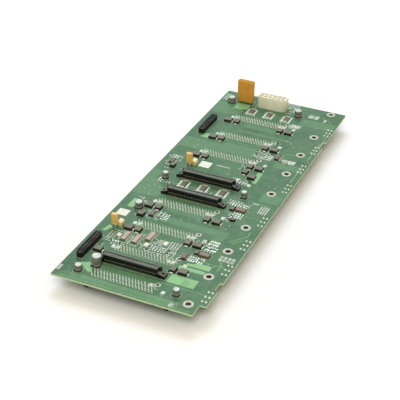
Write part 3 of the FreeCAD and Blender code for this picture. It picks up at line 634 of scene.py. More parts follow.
# ---------------------------------------------------------------- finishes
def mask_finish(name, dark, light, fields):
    """Green solder mask: cloudy tone, buried copper fields, fine tracks and laminate edges with a painted
    highlight.
    """
    material, tree, surface = start_material(name)
    tone, grain = use_group(tree, "Mottle", Scale=34.0, Fine=700.0, Share=0.35).outputs
    base = mix_colour(tree, tone, dark, light)
    place = add_node(tree, "ShaderNodeTexCoord").outputs["Object"]
    cells = add_node(tree, "ShaderNodeTexVoronoi", {"Vector": place, "Scale": 62.0, "Randomness": 0.9},
                     distance="CHEBYCHEV")
    split = add_node(tree, "ShaderNodeSeparateColor", {"Color": cells.outputs["Color"]})
    field = ramp(tree, split.outputs["Red"], 0.62, 0.66)
    base = mix_colour(tree, maths(tree, "MULTIPLY", field, fields), base, light)
    # Patches of fine parallel tracks.
    patches = ramp(tree, noise(tree, 55.0, 2.0), 0.5, 0.56)
    stripes = ramp(tree, waves(tree, "X", 125.0, 0.0), 0.62, 0.8)
    fine = maths(tree, "MULTIPLY", patches, stripes)
    base = mix_colour(tree, maths(tree, "MULTIPLY", fine, 0.28), base, light)
    # The sawn edges show glass laminate in thin layers, painted pale as laminate and as a painted highlight
    # along the board's sides.
    normal = add_node(tree, "ShaderNodeNewGeometry")
    parts = add_node(tree, "ShaderNodeSeparateXYZ", {"Vector": normal.outputs["Normal"]})
    side = ramp(tree, maths(tree, "ABSOLUTE", parts.outputs["Z"]), 0.6, 0.3)
    edge = mix_colour(tree, waves(tree, "Z", 900.0, 0.6), LAMINATE_DARK_WITH_HIGHLIGHT, LAMINATE_PALE_WITH_HIGHLIGHT)
    base = mix_colour(tree, side, base, edge)
    dust = use_group(tree, "Dust", Amount=0.18)
    base = mix_colour(tree, dust.outputs["Mask"], base, DUST_ON_MASK)
    tree.links.new(base, surface.inputs["Base Color"])
    roughen(tree, surface, grain, 0.4, 0.6)
    weave = maths(tree, "ADD", waves(tree, "X", 420.0, 0.3), waves(tree, "Y", 420.0, 0.3))
    emboss(tree, surface, 0.3, 0.00002, maths(tree, "ADD", weave, fine))
    surface.inputs["Specular IOR Level"].default_value = 0.16
    surface.inputs["Coat Weight"].default_value = 0.02
    surface.inputs["Coat Roughness"].default_value = 0.2
    return material


def ink_finish():
    """Pale printed ink, slightly rubbed through to the green."""
    made = bpy.data.materials.get("print_ink")
    if made:
        return made
    material, tree, surface = start_material("print_ink")
    mottle = use_group(tree, "Mottle", Scale=420.0, Fine=2600.0, Share=0.5)
    thin = ramp(tree, mottle.outputs["Tone"], 0.1, 0.7)
    base = mix_colour(tree, thin, opaque(finish().mask_light), opaque(finish().ink))
    tree.links.new(base, surface.inputs["Base Color"])
    roughen(tree, surface, mottle.outputs["Grain"], 0.45, 0.7)
    return material


def paper_finish():
    """Blank white label paper with faint fibres."""
    material, tree, surface = start_material("label_paper_white")
    mottle = use_group(tree, "Mottle", Scale=160.0, Fine=5200.0, Share=0.45)
    base = mix_colour(tree, mottle.outputs["Tone"], (0.80, 0.83, 0.77, 1.0), (0.92, 0.94, 0.90, 1.0))
    tree.links.new(base, surface.inputs["Base Color"])
    roughen(tree, surface, mottle.outputs["Grain"], 0.5, 0.75)
    emboss(tree, surface, 0.2, 0.00002, mottle.outputs["Grain"])
    return material


def lens_finish():
    """Milky lamp lens with faint clouding."""
    material, tree, surface = start_material("lamp_lens_milky")
    mottle = use_group(tree, "Mottle", Scale=500.0, Fine=2400.0, Share=0.3)
    base = mix_colour(tree, mottle.outputs["Tone"], (0.62, 0.66, 0.60, 1.0), (0.80, 0.82, 0.76, 1.0))
    tree.links.new(base, surface.inputs["Base Color"])
    roughen(tree, surface, mottle.outputs["Grain"], 0.08, 0.22)
    surface.inputs["Coat Weight"].default_value = 0.5
    return material


def tin():
    # Mostly diffuse pale tin: its brightness is partly a painted reflection of the lamps.
    return metal("tin_with_painted_reflection", (0.82, 0.88, 0.78), roughness=0.3, share=0.22, shine=0.3)


def land_tin():
    return metal("dull_land_tin", (0.58, 0.61, 0.48), roughness=0.35, scale=420.0, share=0.4, shine=0.4)


def grey_tin():
    # Dark tin for the legs and leads under the parts: painted shade.
    return metal("shaded_leg_tin", (0.10, 0.10, 0.08), roughness=0.4, tarnish=(0.05, 0.05, 0.04), shine=0.4)


def pale_pad():
    return metal("pale_tinned_pad", (0.70, 0.77, 0.66), roughness=0.4, tarnish=(0.30, 0.36, 0.28), share=0.5,
                 shine=0.15)


def small_dark():
    return moulded("small_chip_dark", (0.045, 0.035, 0.025), (0.3, 0.28, 0.22), roughness=0.5, scale=900.0)


def small_tan():
    return moulded("small_chip_tan", (0.34, 0.29, 0.20), (0.6, 0.56, 0.44), roughness=0.5, scale=900.0)


def dark_barrel():
    # Near-black plating in the hole bores: painted shade inside the holes.
    return metal("shaded_barrel", (0.07, 0.055, 0.04), roughness=0.5, tarnish=(0.03, 0.025, 0.02), shine=0.3)


def shaded_header_gold():
    # Gold darkened as painted shade deep inside the header shrouds.
    return metal("shaded_header_gold_pins", (0.12, 0.09, 0.045), roughness=0.4, tarnish=(0.05, 0.035, 0.02), shine=0.6)


def gold():
    return metal("gold_contact_plating", (0.86, 0.62, 0.25), roughness=0.2, tarnish=(0.5, 0.34, 0.14),
                 share=0.25)


def aluminium():
    # The dark flank colour on the can sides is a painted reflection of the dark board and surroundings.
    return metal("can_aluminium_brushed", (0.60, 0.64, 0.55), roughness=0.32, scale=260.0,
                 tarnish=(0.22, 0.23, 0.19), share=0.6, shine=0.45, flank=(0.26, 0.25, 0.21))


def black_plastic():
    return moulded("black_glass_filled_plastic", (0.010, 0.011, 0.009), (0.08, 0.08, 0.07),
                   roughness=0.5, gloss=0.3)


# -------------------------------------------------------- property groups
class BackplaneFinish(bpy.types.PropertyGroup):
    """Colours of the board and its print"""
    mask_dark: FloatVectorProperty(
        name="Mask, dark", description="Green solder mask over bare laminate", subtype="COLOR",
        default=(0.042, 0.135, 0.070), min=0.0, max=1.0)
    mask_light: FloatVectorProperty(
        name="Mask, light", description="Green solder mask over buried copper", subtype="COLOR",
        default=(0.110, 0.240, 0.128), min=0.0, max=1.0)
    copper_field: FloatVectorProperty(
        name="Copper field", description="Mask over the open copper fields", subtype="COLOR",
        default=(0.31, 0.63, 0.31), min=0.0, max=1.0)
    ink: FloatVectorProperty(
        name="Print ink", description="Printed outlines and bars", subtype="COLOR",
        default=(0.62, 0.70, 0.60), min=0.0, max=1.0)


class BackplaneSolder(bpy.types.PropertyGroup):
    """Sizes of the solder, pins, tracks and print"""
    tail_height: FloatProperty(
        name="Tail height", description="How far a contact tail stands over the board",
        default=0.0018, unit="LENGTH", min=0.0005)
    tail_radius: FloatProperty(
        name="Tail radius", description="Half the thickness of a contact tail", default=0.0003, unit="LENGTH")
    cone_radius: FloatProperty(
        name="Solder radius", description="Half the width of a solder cone", default=0.00072, unit="LENGTH")
    track_width: FloatProperty(
        name="Track width", description="Width of a signal track", default=0.00032, unit="LENGTH")
    print_width: FloatProperty(
        name="Print width", description="Width of a printed line", default=0.0005, unit="LENGTH")
    via_density: FloatProperty(
        name="Via density", description="Most plated vias in a square metre of an open field",
        default=15000.0, min=0.0)


class BackplaneStage(bpy.types.PropertyGroup):
    """Studio light and floor"""
    key_power: FloatProperty(
        name="Key power", description="Strength of the large soft lamp behind",
        default=7.5, unit="POWER", min=0.0)
    fill_power: FloatProperty(
        name="Fill power", description="Strength of the soft lamp in front",
        default=7.0, unit="POWER", min=0.0)
    sky_low: FloatProperty(
        name="Sky, camera side", description="Strength of the even light from the camera's side",
        default=0.42, min=0.0)
    sky_high: FloatProperty(
        name="Sky, lit side", description="Strength of the even light from above and behind",
        default=0.64, min=0.0)
    floor_size: FloatProperty(name="Floor size", description="Side of the floor", default=8.0, unit="LENGTH")


def finish():
    return bpy.context.scene.backplane_finish


def solder():
    return bpy.context.scene.backplane_solder


# --------------------------------------------------------------- the board
def flat_shapes(name, outlines, height, material, lift=0.0):
    """Thin raised fields on the board, each a closed outline of (x, y) millimetres."""
    shape = bmesh.new()
    for outline in outlines:
        lower = [shape.verts.new(spot(x, y, lift)) for x, y in outline]
        upper = [shape.verts.new(spot(x, y, lift + height)) for x, y in outline]
        shape.faces.new(lower[::-1])
        shape.faces.new(upper)
        for i in range(len(outline)):
            after = (i + 1) % len(outline)
            shape.faces.new([lower[i], lower[after], upper[after], upper[i]])
    return settle(new_object(name, mesh_from(shape, name, material)))


def bar(x, y, size_x, size_y):
    """Outline of a rectangle from its near left corner."""
    return [(x, y), (x + size_x, y), (x + size_x, y + size_y), (x, y + size_y)]


class BACKPLANE_OT_board(bpy.types.Operator):
    """Finish the board and lay its copper fields"""
    bl_idname = "backplane.board"
    bl_label = "Board and copper fields"

    # Outlines in millimetres: quiet planes under the mask, then the brighter open fields.
    planes = [
        bar(4, 0.7, 106, 2.3),
        [(1, 126), (20, 126), (23, 130), (23, 141), (10, 152), (10, 168), (1, 168)],
        [(38, 96.6), (97, 96.6), (97, 104), (44, 104)],
        bar(38, 111.6, 32, 5.2),
        bar(89, 92, 7.5, 4.0),
        [(1, 213.5), (30, 213.5), (34, 218.5), (68, 218.5), (68, 236), (40, 236), (36, 232), (1, 232)],
        [(1, 286), (16, 286), (29, 292), (29, 298), (16, 309), (1, 309)],
        bar(40, 269.5, 30, 6.5),
        bar(84, 295.5, 32, 12.5),
        bar(99, 157, 17, 13),
        bar(38, 259.5, 52, 3.2),
        bar(13, 4.4, 86, 4.2),
        bar(90, 213, 25, 9.5),
    ]
    open_fields = [
        [(79.6, 27.2), (101, 27.2), (101, 37.4), (79.6, 37.4)],
        [(80, 45.6), (100.6, 45.6), (100.6, 49.6), (80, 49.6)],
        [(84, 51.4), (102.6, 51.4), (102.6, 57.4), (92, 57.4), (88, 54.6), (84, 54.6)],
        [(12.2, 21.6), (19.6, 24.6), (25.4, 16.2), (25.4, 13.8), (22.2, 13.8)],
        [(83.4, 181), (87.8, 181), (86.8, 200), (82.6, 200)],
        [(18, 301), (24, 299.6), (31, 303.4), (31, 311.4), (18, 311.4)],
        bar(7.6, 105, 5.0, 13),
        [(12, 236), (20, 236), (24, 244), (16, 244)],
        [(6, 66), (9, 66), (12, 74), (8, 75)],
    ]

    def execute(self, context):
        colours = finish()
        light = opaque(colours.mask_light)
        mask = mask_finish("green_solder_mask", opaque(colours.mask_dark), light, 0.35)
        finish_node("circuit_board", mask)
        planes = mask_finish("mask_over_copper", light, opaque(colours.mask_light, 1.22), 0.2)
        flat_shapes("copper_planes", self.planes, 0.03, planes)
        bright = mask_finish("mask_over_bright_copper", opaque(colours.copper_field, 0.8),
                             opaque(colours.copper_field), 0.3)
        flat_shapes("open_copper_fields", self.open_fields, 0.035, bright)
        return {"FINISHED"}


def bundle(x, y, count, step, path, place=spot):
    """Parallel lines that start side by side and follow the same bends."""
    lines = []
    for i in range(count):
        points = [place(x + i * step + dx, y + dy, 0.02) for dx, dy in path]
        lines.append((points, False))
    return lines


class BACKPLANE_OT_tracks(bpy.types.Operator):
    """Lay the signal tracks on both faces"""
    bl_idname = "backplane.tracks"
    bl_label = "Signal tracks"

    # Left ends of the dotted rows and their places along the board, in millimetres.
    dotted_rows = ((7, (2.0, 3.7, 5.6, 7.4)), (18, (24.4, 60.2, 131.4, 153.0, 239.4)))

    def execute(self, context):
        material = mask_finish("mask_over_tracks", opaque(finish().mask_light),
                               opaque(finish().mask_light, 1.35), 0.1)
        lines = []
        underside = []
        for y in strip_starts():
            lines += bundle(27.0, y + 8.6, 38, TRACK_STEP, [(0, 0), (0, 2.2), (2.2, 4.4), (2.2, 7.2)])
            lines += bundle(28.0, y - 0.4, 36, TRACK_STEP, [(0, 0), (0, -3.0), (-1.6, -4.6), (-1.6, -6.4)])
            lines += bundle(88.0, y + 12, 5, 1.1, [(0, 0), (0, 4), (3, 7), (3, 12)])
            lines += bundle(108.6, y + 3, 3, 0.9, [(0, 0), (0, 16)])
            underside += bundle(30.0, y + 9.4, 30, 1.6, [(0, 0), (0, 4), (-5, 9), (-5, 17)], under)
            underside += bundle(94.0, y - 4, 8, 1.2, [(0, 0), (0, 10), (3, 13), (3, 25)], under)
        for node in CABLE_NODES:
            y = board_place(node_box(node)[1])[1] + 0.6
            lines += bundle(31.0, y, 34, TRACK_STEP, [(0, 0), (0, 2.5), (1.8, 4.3), (1.8, 7.0)])
        lines += bundle(99.4, 99, 2, 1.6, [(0, 0), (10, 10), (10, 14)])
        lines += bundle(100.4, 92, 2, 1.6, [(0, 0), (8, 8)])
        lines += bundle(2.0, 172, 4, 1.0, [(0, 0), (0, 30), (4, 34), (4, 38)])
        lines += bundle(13.6, 28, 4, 1.1, [(0, 0), (0, 8), (-1.6, 9.6), (-1.6, 22)])
        bright = bpy.data.materials["mask_over_bright_copper"]
        edge_lines = bundle(100.4, 92.4, 1, 1.0, [(0, 0), (10.6, 12.8), (10.6, 19.6)])
        edge_lines += bundle(103.6, 91.6, 1, 1.0, [(0, 0), (6.2, 7.6)])
        edge_lines += bundle(107.6, 54.0, 1, 1.0, [(0, 0), (0, 9.4), (-3.4, 13.0)])
        ribbon = ribbon_tree("Track Ribbon")
        lay("edge_tracks", lines_object(edge_lines), ribbon, {
            "Width": 0.0006, "Thickness": 0.00005, "Material": bright})

        # Dotted rows of vias across the board, every second one shifted, and three along its edge.
        rows = [spot(left + (i % 2) * 0.8, y)
                for left, places in self.dotted_rows for i, y in enumerate(places)]
        dots = row_tree("Dotted Rows", BAR_SIZES, bar_piece, 71, 0.1)
        edge_rows = [spot(x, y) for x, y in ((113.6, 236.0), (115.0, 262.0), (112.8, 196.0))]
        lay("edge_via_rows", points_object(edge_rows), dots, {
            "Count": 14, "Step": (0.0, 0.0024, 0.0), "Material": pale_pad(),
            "Width": 0.0008, "Depth": 0.0009, "Height": 0.00005})
        lay("via_rows", points_object(rows), dots, {
            "Count": 58, "Step": (0.0016, 0.0, 0.0), "Material": bright,
            "Width": 0.0007, "Depth": 0.0007, "Height": 0.00005})

        values = {"Width": solder().track_width, "Thickness": 0.00004, "Material": material}
        lay("signal_tracks", lines_object(lines), ribbon, values)
        lay("underside_tracks", lines_object(underside), ribbon, values)
        return {"FINISHED"}


class BACKPLANE_OT_lands(bpy.types.Operator):
    """Plate the mounting holes with rings and barrels"""
    bl_idname = "backplane.lands"
    bl_label = "Hole lands"

    def execute(self, context):
        boxes = solid_boxes("hole_lands")
        low, high = boxes[0]
        outer = (high.x - low.x) / 2
        thick = high.z - low.z
        ring = row_tree("Ring Rows", RING_SIZES, ring_piece, 3)
        sizes = {"Radius": (outer + HOLE_RADIUS) / 2, "Breadth": outer - HOLE_RADIUS, "Thickness": thick,
                 "Count": 1, "Material": land_tin()}
        tops = [(low + high) / 2 for low, high in boxes]
        lay("plated_lands", points_object(tops), ring, sizes, ["hole_lands"])
        bottoms = [Vector((top.x, top.y, BOARD_LOW.z - thick / 2)) for top in tops]
        lay("plated_lands_under", points_object(bottoms), ring, sizes)
        barrel = dict(sizes, Radius=HOLE_RADIUS - 0.00003, Breadth=0.00006,
                      Thickness=BOARD_HIGH.z - BOARD_LOW.z, Material=dark_barrel())
        barrels = [Vector((top.x, top.y, (BOARD_HIGH.z + BOARD_LOW.z) / 2)) for top in tops]
        lay("plated_barrels", points_object(barrels), ring, barrel)
        return {"FINISHED"}


class BACKPLANE_OT_tails(bpy.types.Operator):
    """Solder the contact tails, the lamp leads and the joints on the underside"""
    bl_idname = "backplane.tails"
    bl_label = "Contact tails and solder"

    # Lamp leads: their columns from the block's left side, and the step between lamps.
    lead_columns = (0.0012, 0.0042)
    lead_step = 0.0058

    def execute(self, context):
        sizes = solder()
        tree = row_tree("Soldered Pins", PIN_SIZES, pin_piece, 11, 0.06)
        values = {"Count": 1, "Material": tin(), "Pin radius": sizes.tail_radius,
                  "Pin height": sizes.tail_height, "Solder radius": sizes.cone_radius,
                  "Solder waist": sizes.cone_radius * 0.55, "Solder height": sizes.tail_height * 0.3}
        places = [middle(low, high, low.z) for low, high in solid_boxes("drive_contact_tails")]
        lay("soldered_contact_tails", points_object(places), tree, values,
            ["drive_contact_tails"])

        # Two rows of three lamp leads beside each slot.
        leads = []
        for low, high in solid_boxes("lamp_blocks"):
            for step in (-1, 0, 1):
                for x in self.lead_columns:
                    y = (low.y + high.y) / 2 + step * self.lead_step
                    leads.append(Vector((low.x + x, y, BOARD_HIGH.z)))
        small = dict(values, **{"Pin height": 0.0009, "Pin radius": 0.00035, "Solder radius": 0.001,
                                "Solder waist": 0.0007, "Solder height": 0.00026})
        lay("lamp_lead_solder", points_object(leads), tree, small)

        # Joints of the parts with leads, made upside down and turned over to the underside.
        joints = []
        for node in ("side_header_pins_near", "side_header_pins_far", "power_pins", "large_fuse_leads",
                     "small_fuse_leads"):
            joints += [middle(low, high, -BOARD_LOW.z) for low, high in solid_boxes(node)]
        small["Pin height"] = 0.0012
        piece = run_tree(points_object(joints), tree, "underside_joints", small)
        for vertex in piece.data.vertices:
            vertex.co.z = -vertex.co.z
        piece.data.flip_normals()
        settle(piece)
        return {"FINISHED"}


def covered_places():
    """Millimetre boxes of the board's top that parts stand on, with a margin of 0.8."""
    taken = []
    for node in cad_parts:
        if node in ("circuit_board", "hole_lands") or node.startswith(("drive_connector", "lamp_")):
            continue
        for low, high in solid_boxes(node):
            left, near = board_place(low)
            right, far = board_place(high)
            taken.append((left - 0.8, near - 0.8, right + 0.8, far + 0.8))
    return taken


class BACKPLANE_OT_small_parts(bpy.types.Operator):
    """Fill the crowded places with bare pads and the smallest chips"""
    bl_idname = "backplane.small_parts"
    bl_label = "Small pads and chips"

    # Near left corner, size and step between places in millimetres, then the share of them in use.
    crowded = (
        (13.5, 55.6, 34, 21, 2.3, 2.1, 0.72), (46.5, 55.6, 27, 20, 1.7, 1.7, 0.86),
        (86.2, 119, 11, 18, 1.9, 1.8, 0.9), (78, 142.6, 20, 8.4, 2.0, 1.8, 0.75),
        (68.6, 223.4, 19, 15, 1.9, 1.8, 0.8), (90, 223.6, 16, 6.4, 1.9, 1.7, 0.9),
        (19, 96.8, 23, 13, 2.1, 2.0, 0.62), (80, 57.2, 16, 9, 2.2, 2.0, 0.6),
        (86, 73, 12, 17, 2.1, 2.0, 0.62), (4, 173, 14, 25, 2.2, 2.1, 0.5),
        (67, 174.6, 19, 10, 2.0, 1.9, 0.65), (66, 197, 9, 13, 2.1, 2.0, 0.5),
        (40, 149.4, 10, 9, 2.0, 1.9, 0.6), (56, 149.4, 10, 9, 2.0, 1.9, 0.6),
        (60, 312, 16, 12, 2.1, 2.0, 0.45), (76.6, 285.4, 14, 9, 2.1, 2.0, 0.5),
        (66, 14, 12, 9, 2.0, 1.9, 0.5), (12, 116, 12, 8, 2.1, 1.9, 0.55),
        (79, 75, 7, 12, 2.1, 2.0, 0.6), (7, 44, 12, 10, 2.2, 2.0, 0.5), (76, 250, 9, 6, 2.0, 1.9, 0.6))

    def execute(self, context):
        taken = covered_places()
        chance = random.Random(12)
        kinds = {"pads": [], "dark": [], "tan": []}
        for first_x, first_y, size_x, size_y, step_x, step_y, share in self.crowded:
            for row in range(int(size_y / step_y)):
                for column in range(int(size_x / step_x)):
                    x = first_x + column * step_x + (row % 2) * 0.4
                    y = first_y + row * step_y
                    drawn = chance.random()
                    kind = "pads" if chance.random() < 0.74 else chance.choice(("dark", "tan"))
                    turn = chance.choice((0.0, 0.0, 90.0))
                    blocked = any(left < x < right and near < y < far for left, near, right, far in taken)
                    if drawn < share and not blocked:
                        kinds[kind].append((spot(x, y), turn))
        tree = row_tree("Small Parts", BAR_SIZES, bar_piece, 61, 0.12)
        for kind, material, slot_name, width, depth, height in (
                ("pads", pale_pad(), "solder_plating", 1.45, 1.0, 0.06),
                ("dark", small_dark(), "chip_moulding", 1.3, 0.8, 0.55),
                ("tan", small_tan(), "chip_moulding", 1.3, 0.8, 0.5)):
            places, turns = zip(*kinds[kind])
            lay("small_" + kind, points_object(places, turns), tree, {
                "Count": 1, "Material": material, "Width": width / 1000, "Depth": depth / 1000,
                "Height": height / 1000})
        return {"FINISHED"}


class BACKPLANE_OT_pads(bpy.types.Operator):
    """Scatter plated vias and lay bare pads"""
    bl_idname = "backplane.pads"
    bl_label = "Vias and pads"

    via_fields = (
        bar(6, 44, 10, 12), bar(79, 38.4, 20, 6), bar(40, 52, 30, 4.6), bar(86, 106, 12, 12),
        bar(36, 178, 26, 8), bar(98, 176, 12, 24), bar(72, 246, 14, 8), bar(6, 214, 16, 16),
        bar(84, 250, 24, 18), bar(34, 290, 44, 4), bar(16, 168, 30, 8), bar(98, 56, 12, 8),
        bar(94, 290, 20, 34), bar(8, 120, 12, 30), bar(40, 105, 40, 7), bar(70, 8, 16, 12))

    # Near left pad in millimetres, columns, rows and the steps between them.
    pad_groups = (
        (83, 58.4, 6, 3, 2.1, 2.4), (88.6, 76.6, 6, 2, 1.6, 3.2), (100.6, 224.6, 3, 3, 2.2, 2.0),
        (76.4, 222.6, 4, 3, 2.4, 3.0), (20.4, 57.4, 3, 1, 2.3, 2.0), (80.4, 143.2, 7, 2, 2.4, 2.6),
        (89, 126.4, 4, 3, 2.4, 3.0), (12.4, 151.0, 2, 3, 2.4, 2.6), (40, 99.6, 3, 4, 2.2, 2.3),
        (88.6, 84, 5, 2, 1.7, 3.6), (62.6, 322.6, 5, 4, 2.6, 2.6), (2.6, 313, 2, 5, 2.2, 2.8),
        (72, 317.6, 2, 3, 3.4, 3.2), (72.4, 177.6, 5, 1, 2.4, 2.0), (6.4, 192.4, 4, 2, 2.2, 3.2),
        (80.4, 290.4, 4, 2, 2.4, 2.4))

    def execute(self, context):
        shape = bmesh.new()
        for outline in self.via_fields:
            shape.faces.new([shape.verts.new(spot(x, y, 0.03)) for x, y in outline])
        mesh = bpy.data.meshes.new("via_fields")
        shape.to_mesh(mesh)
        shape.free()
        lay("plated_vias", new_object("via_fields", mesh), self.scatter_tree(), {
            "Density": solder().via_density, "Gap": 0.0012, "Material": tin()})

        pads = [spot(first_x + i * step_x, first_y + j * step_y)
                for first_x, first_y, columns, rows, step_x, step_y in self.pad_groups
                for i in range(columns) for j in range(rows)]
        tree = row_tree("Pad Rows", BAR_SIZES, bar_piece, 21, 0.05)
        lay("bare_pads", points_object(pads), tree, {
            "Count": 1, "Material": tin(), "Width": 0.0013, "Depth": 0.0012, "Height": 0.00008})

        # Wide pads beside each slot; the near slot of each half of the board has fewer.
        wide = []
        for number, y in enumerate(strip_starts()):
            if number in (0, 4):
                wide += [spot(72, y + 8.8), spot(83.6, y + 3.8)]
            else:
                wide += [spot(70.6, y + 4.5), spot(74.2, y + 4.7), spot(24.8, y + 4.4),
                         spot(28.6, y + 4.6), spot(84.0, y + 4.2)]
        lay("wide_pads", points_object(wide), tree, {
            "Count": 1, "Material": pale_pad(), "Width": 0.0031, "Depth": 0.0037, "Height": 0.0003})
        return {"FINISHED"}

    def scatter_tree(self):
        """Tree that strews small plated rings over the base faces."""
        tree, given, result = start_tree("Via Scatter", [
            ("Density", "NodeSocketFloat", 20000.0), ("Gap", "NodeSocketFloat", 0.0012),
            ("Material", "NodeSocketMaterial", None)])
        points = add_node(tree, "GeometryNodeDistributePointsOnFaces", {
            "Mesh": given.outputs["Geometry"], "Distance Min": given.outputs["Gap"],
            "Density Max": given.outputs["Density"], "Seed": 7}, distribute_method="POISSON")
        ring = add_node(tree, "GeometryNodeCurvePrimitiveCircle", {"Resolution": 10, "Radius": 0.00032},
                        mode="RADIUS")
        vias = add_node(tree, "GeometryNodeInstanceOnPoints", {
            "Points": points.outputs["Points"],
            "Instance": swept(tree, ring.outputs["Curve"], 0.00028, 0.00006)})
        return finish_tree(tree, given, result, vias.outputs["Instances"])


class BACKPLANE_OT_print(bpy.types.Operator):
    """Print the outlines and bars round the parts"""
    bl_idname = "backplane.print"
    bl_label = "Printed outlines"

    def outline(self, low, high, margin):
        """Closed line round a box at this margin."""
        left, near, right, far = low.x - margin, low.y - margin, high.x + margin, high.y + margin
        corners = ((left, near), (right, near), (right, far), (left, far))
        return [Vector((x, y, BOARD_HIGH.z + PRINT_HEIGHT)) for x, y in corners], True

    def execute(self, context):
        thin = []
        for node, margin in (("moulded_diodes_right", 0.0009), ("moulded_diodes_left", 0.0009),
                             ("terminator_packages", 0.0017), ("logic_packages", 0.0017),
                             ("capacitor_bases", 0.0006), ("brown_blocks", 0.0009), ("black_blocks", 0.0006)):
            thin += [self.outline(low, high, margin) for low, high in solid_boxes(node)]
        for node in CABLE_NODES + ["side_header_near", "side_header_far", "power_connector", "large_fuse",
                                   "small_fuse_near", "small_fuse_middle"]:
            low, high = node_box(node)
            thin.append(self.outline(low, high, 0.0008))
        lay("part_outlines", lines_object(thin), ribbon_tree("Print Ribbon"), {
            "Width": solder().print_width * 0.8, "Thickness": 0.00003, "Material": ink_finish()})

        # A bar at either end of each strip resistor and one along its near side.
        frames = []
        for low, high in solid_boxes("strip_resistors"):
            x, y = board_place(low)
            size_x, size_y = (high.x - low.x) * 1000, (high.y - low.y) * 1000
            frames += [bar(x - 2.3, y - 2.2, 1.8, size_y + 3.6),
                       bar(x + size_x + 0.4, y - 2.2, 1.8, size_y + 3.6),
                       bar(x - 0.5, y - 2.2, size_x + 0.9, 1.0)]
        flat_shapes("strip_outlines", frames, 0.03, pale_pad())

        # Printed blocks between the parts: three groups that repeat, and single ones.
        blocks = [bar(105 + i * 2.0, 139.4, 1.2, 11.4) for i in range(4)]
        blocks += [bar(88.6 + i * 1.9, 81.4, 0.9, 8.6) for i in range(4)]
        blocks += [bar(102.6 + i * 3.2, 67.0 + j * 3.7, 2.6, 3.0) for i in range(4) for j in range(2)]
        blocks += [bar(46, 194.6, 12.6, 1.4),
                   bar(87.4, 311.8, 4.6, 6.4), bar(93.2, 311.8, 4.2, 6.4), bar(102.8, 309.6, 2.6, 5.2),
                   bar(92.8, 1.6, 3.4, 4.6), bar(0.6, 6.8, 2.4, 6.8), bar(93.6, 224.6, 11.6, 4.4),
                   bar(78.6, 286.8, 8.6, 5.4), bar(97, 150.8, 5.0, 2.2)]
        flat_shapes("printed_blocks", blocks, 0.02, ink_finish(), 0.03)
        return {"FINISHED"}


# ---------------------------------------------------------- the connectors
def tail_rows():
    """Left and right end of the contact rows, from the drive connectors' tails."""
    centres = [(low + high) / 2 for low, high in solid_boxes("drive_contact_tails")]
    return min(c.x for c in centres), max(c.x for c in centres)


class BACKPLANE_OT_drive_sockets(bpy.types.Operator):
    """Finish the drive connectors under the board and fill their slots with contacts"""
    bl_idname = "backplane.drive_sockets"
    bl_label = "Drive connectors"

    row_aside = 0.00128  # from the slot's middle
    contact_floor = 0.0042  # over the connector's nose
    peg_inset = 0.0002  # from the last contact
    peg_aside = 0.0066

    # Outlines of (radius, height) in millimetres.
    peg = [(0, 0.0), (0.95, 0.0), (0.95, 0.35), (0.7, 0.55), (0, 0.6)]
    peg_land = [(1.0, 0.01), (2.3, 0.01), (2.25, 0.09), (1.05, 0.09), (1.0, 0.01)]

    def execute(self, context):
        plastic = black_plastic()
        for number, node in enumerate(DRIVE_NODES, start=1):
            rounded_copy(node, "drive_socket_%d" % number, plastic, 0.25)
        first_x, last_x = tail_rows()
        step = (last_x - first_x) / (DRIVE_ROW_CONTACTS - 1)
        starts = []
        for node in DRIVE_NODES:
            low, high = node_box(node)
            for side in (-self.row_aside, self.row_aside):
                starts.append(Vector((first_x, (low.y + high.y) / 2 + side, low.z + self.contact_floor)))
        tree = row_tree("Contact Rows", BAR_SIZES, bar_piece, 31)
        lay("drive_socket_contacts", points_object(starts), tree, {
            "Count": DRIVE_ROW_CONTACTS, "Step": (step, 0.0, 0.0), "Material": gold(),
            "Width": 0.0006, "Depth": 0.0004, "Height": 0.0061})

        # The peg at the right end of each socket comes up through the board.
        pegs = bmesh.new()
        rings = bmesh.new()
        for node in DRIVE_NODES:
            low, high = node_box(node)
            centre_y = (low.y + high.y) / 2 + self.peg_aside
            centre = Vector((last_x - self.peg_inset, centre_y, BOARD_HIGH.z))
            lathe(pegs, self.peg, centre, 20)
            lathe(rings, self.peg_land, centre, 28)
        settle(new_object("socket_pegs", mesh_from(pegs, "socket_pegs", plastic)))
        settle(new_object("peg_lands", mesh_from(rings, "peg_lands", land_tin())))
        return {"FINISHED"}


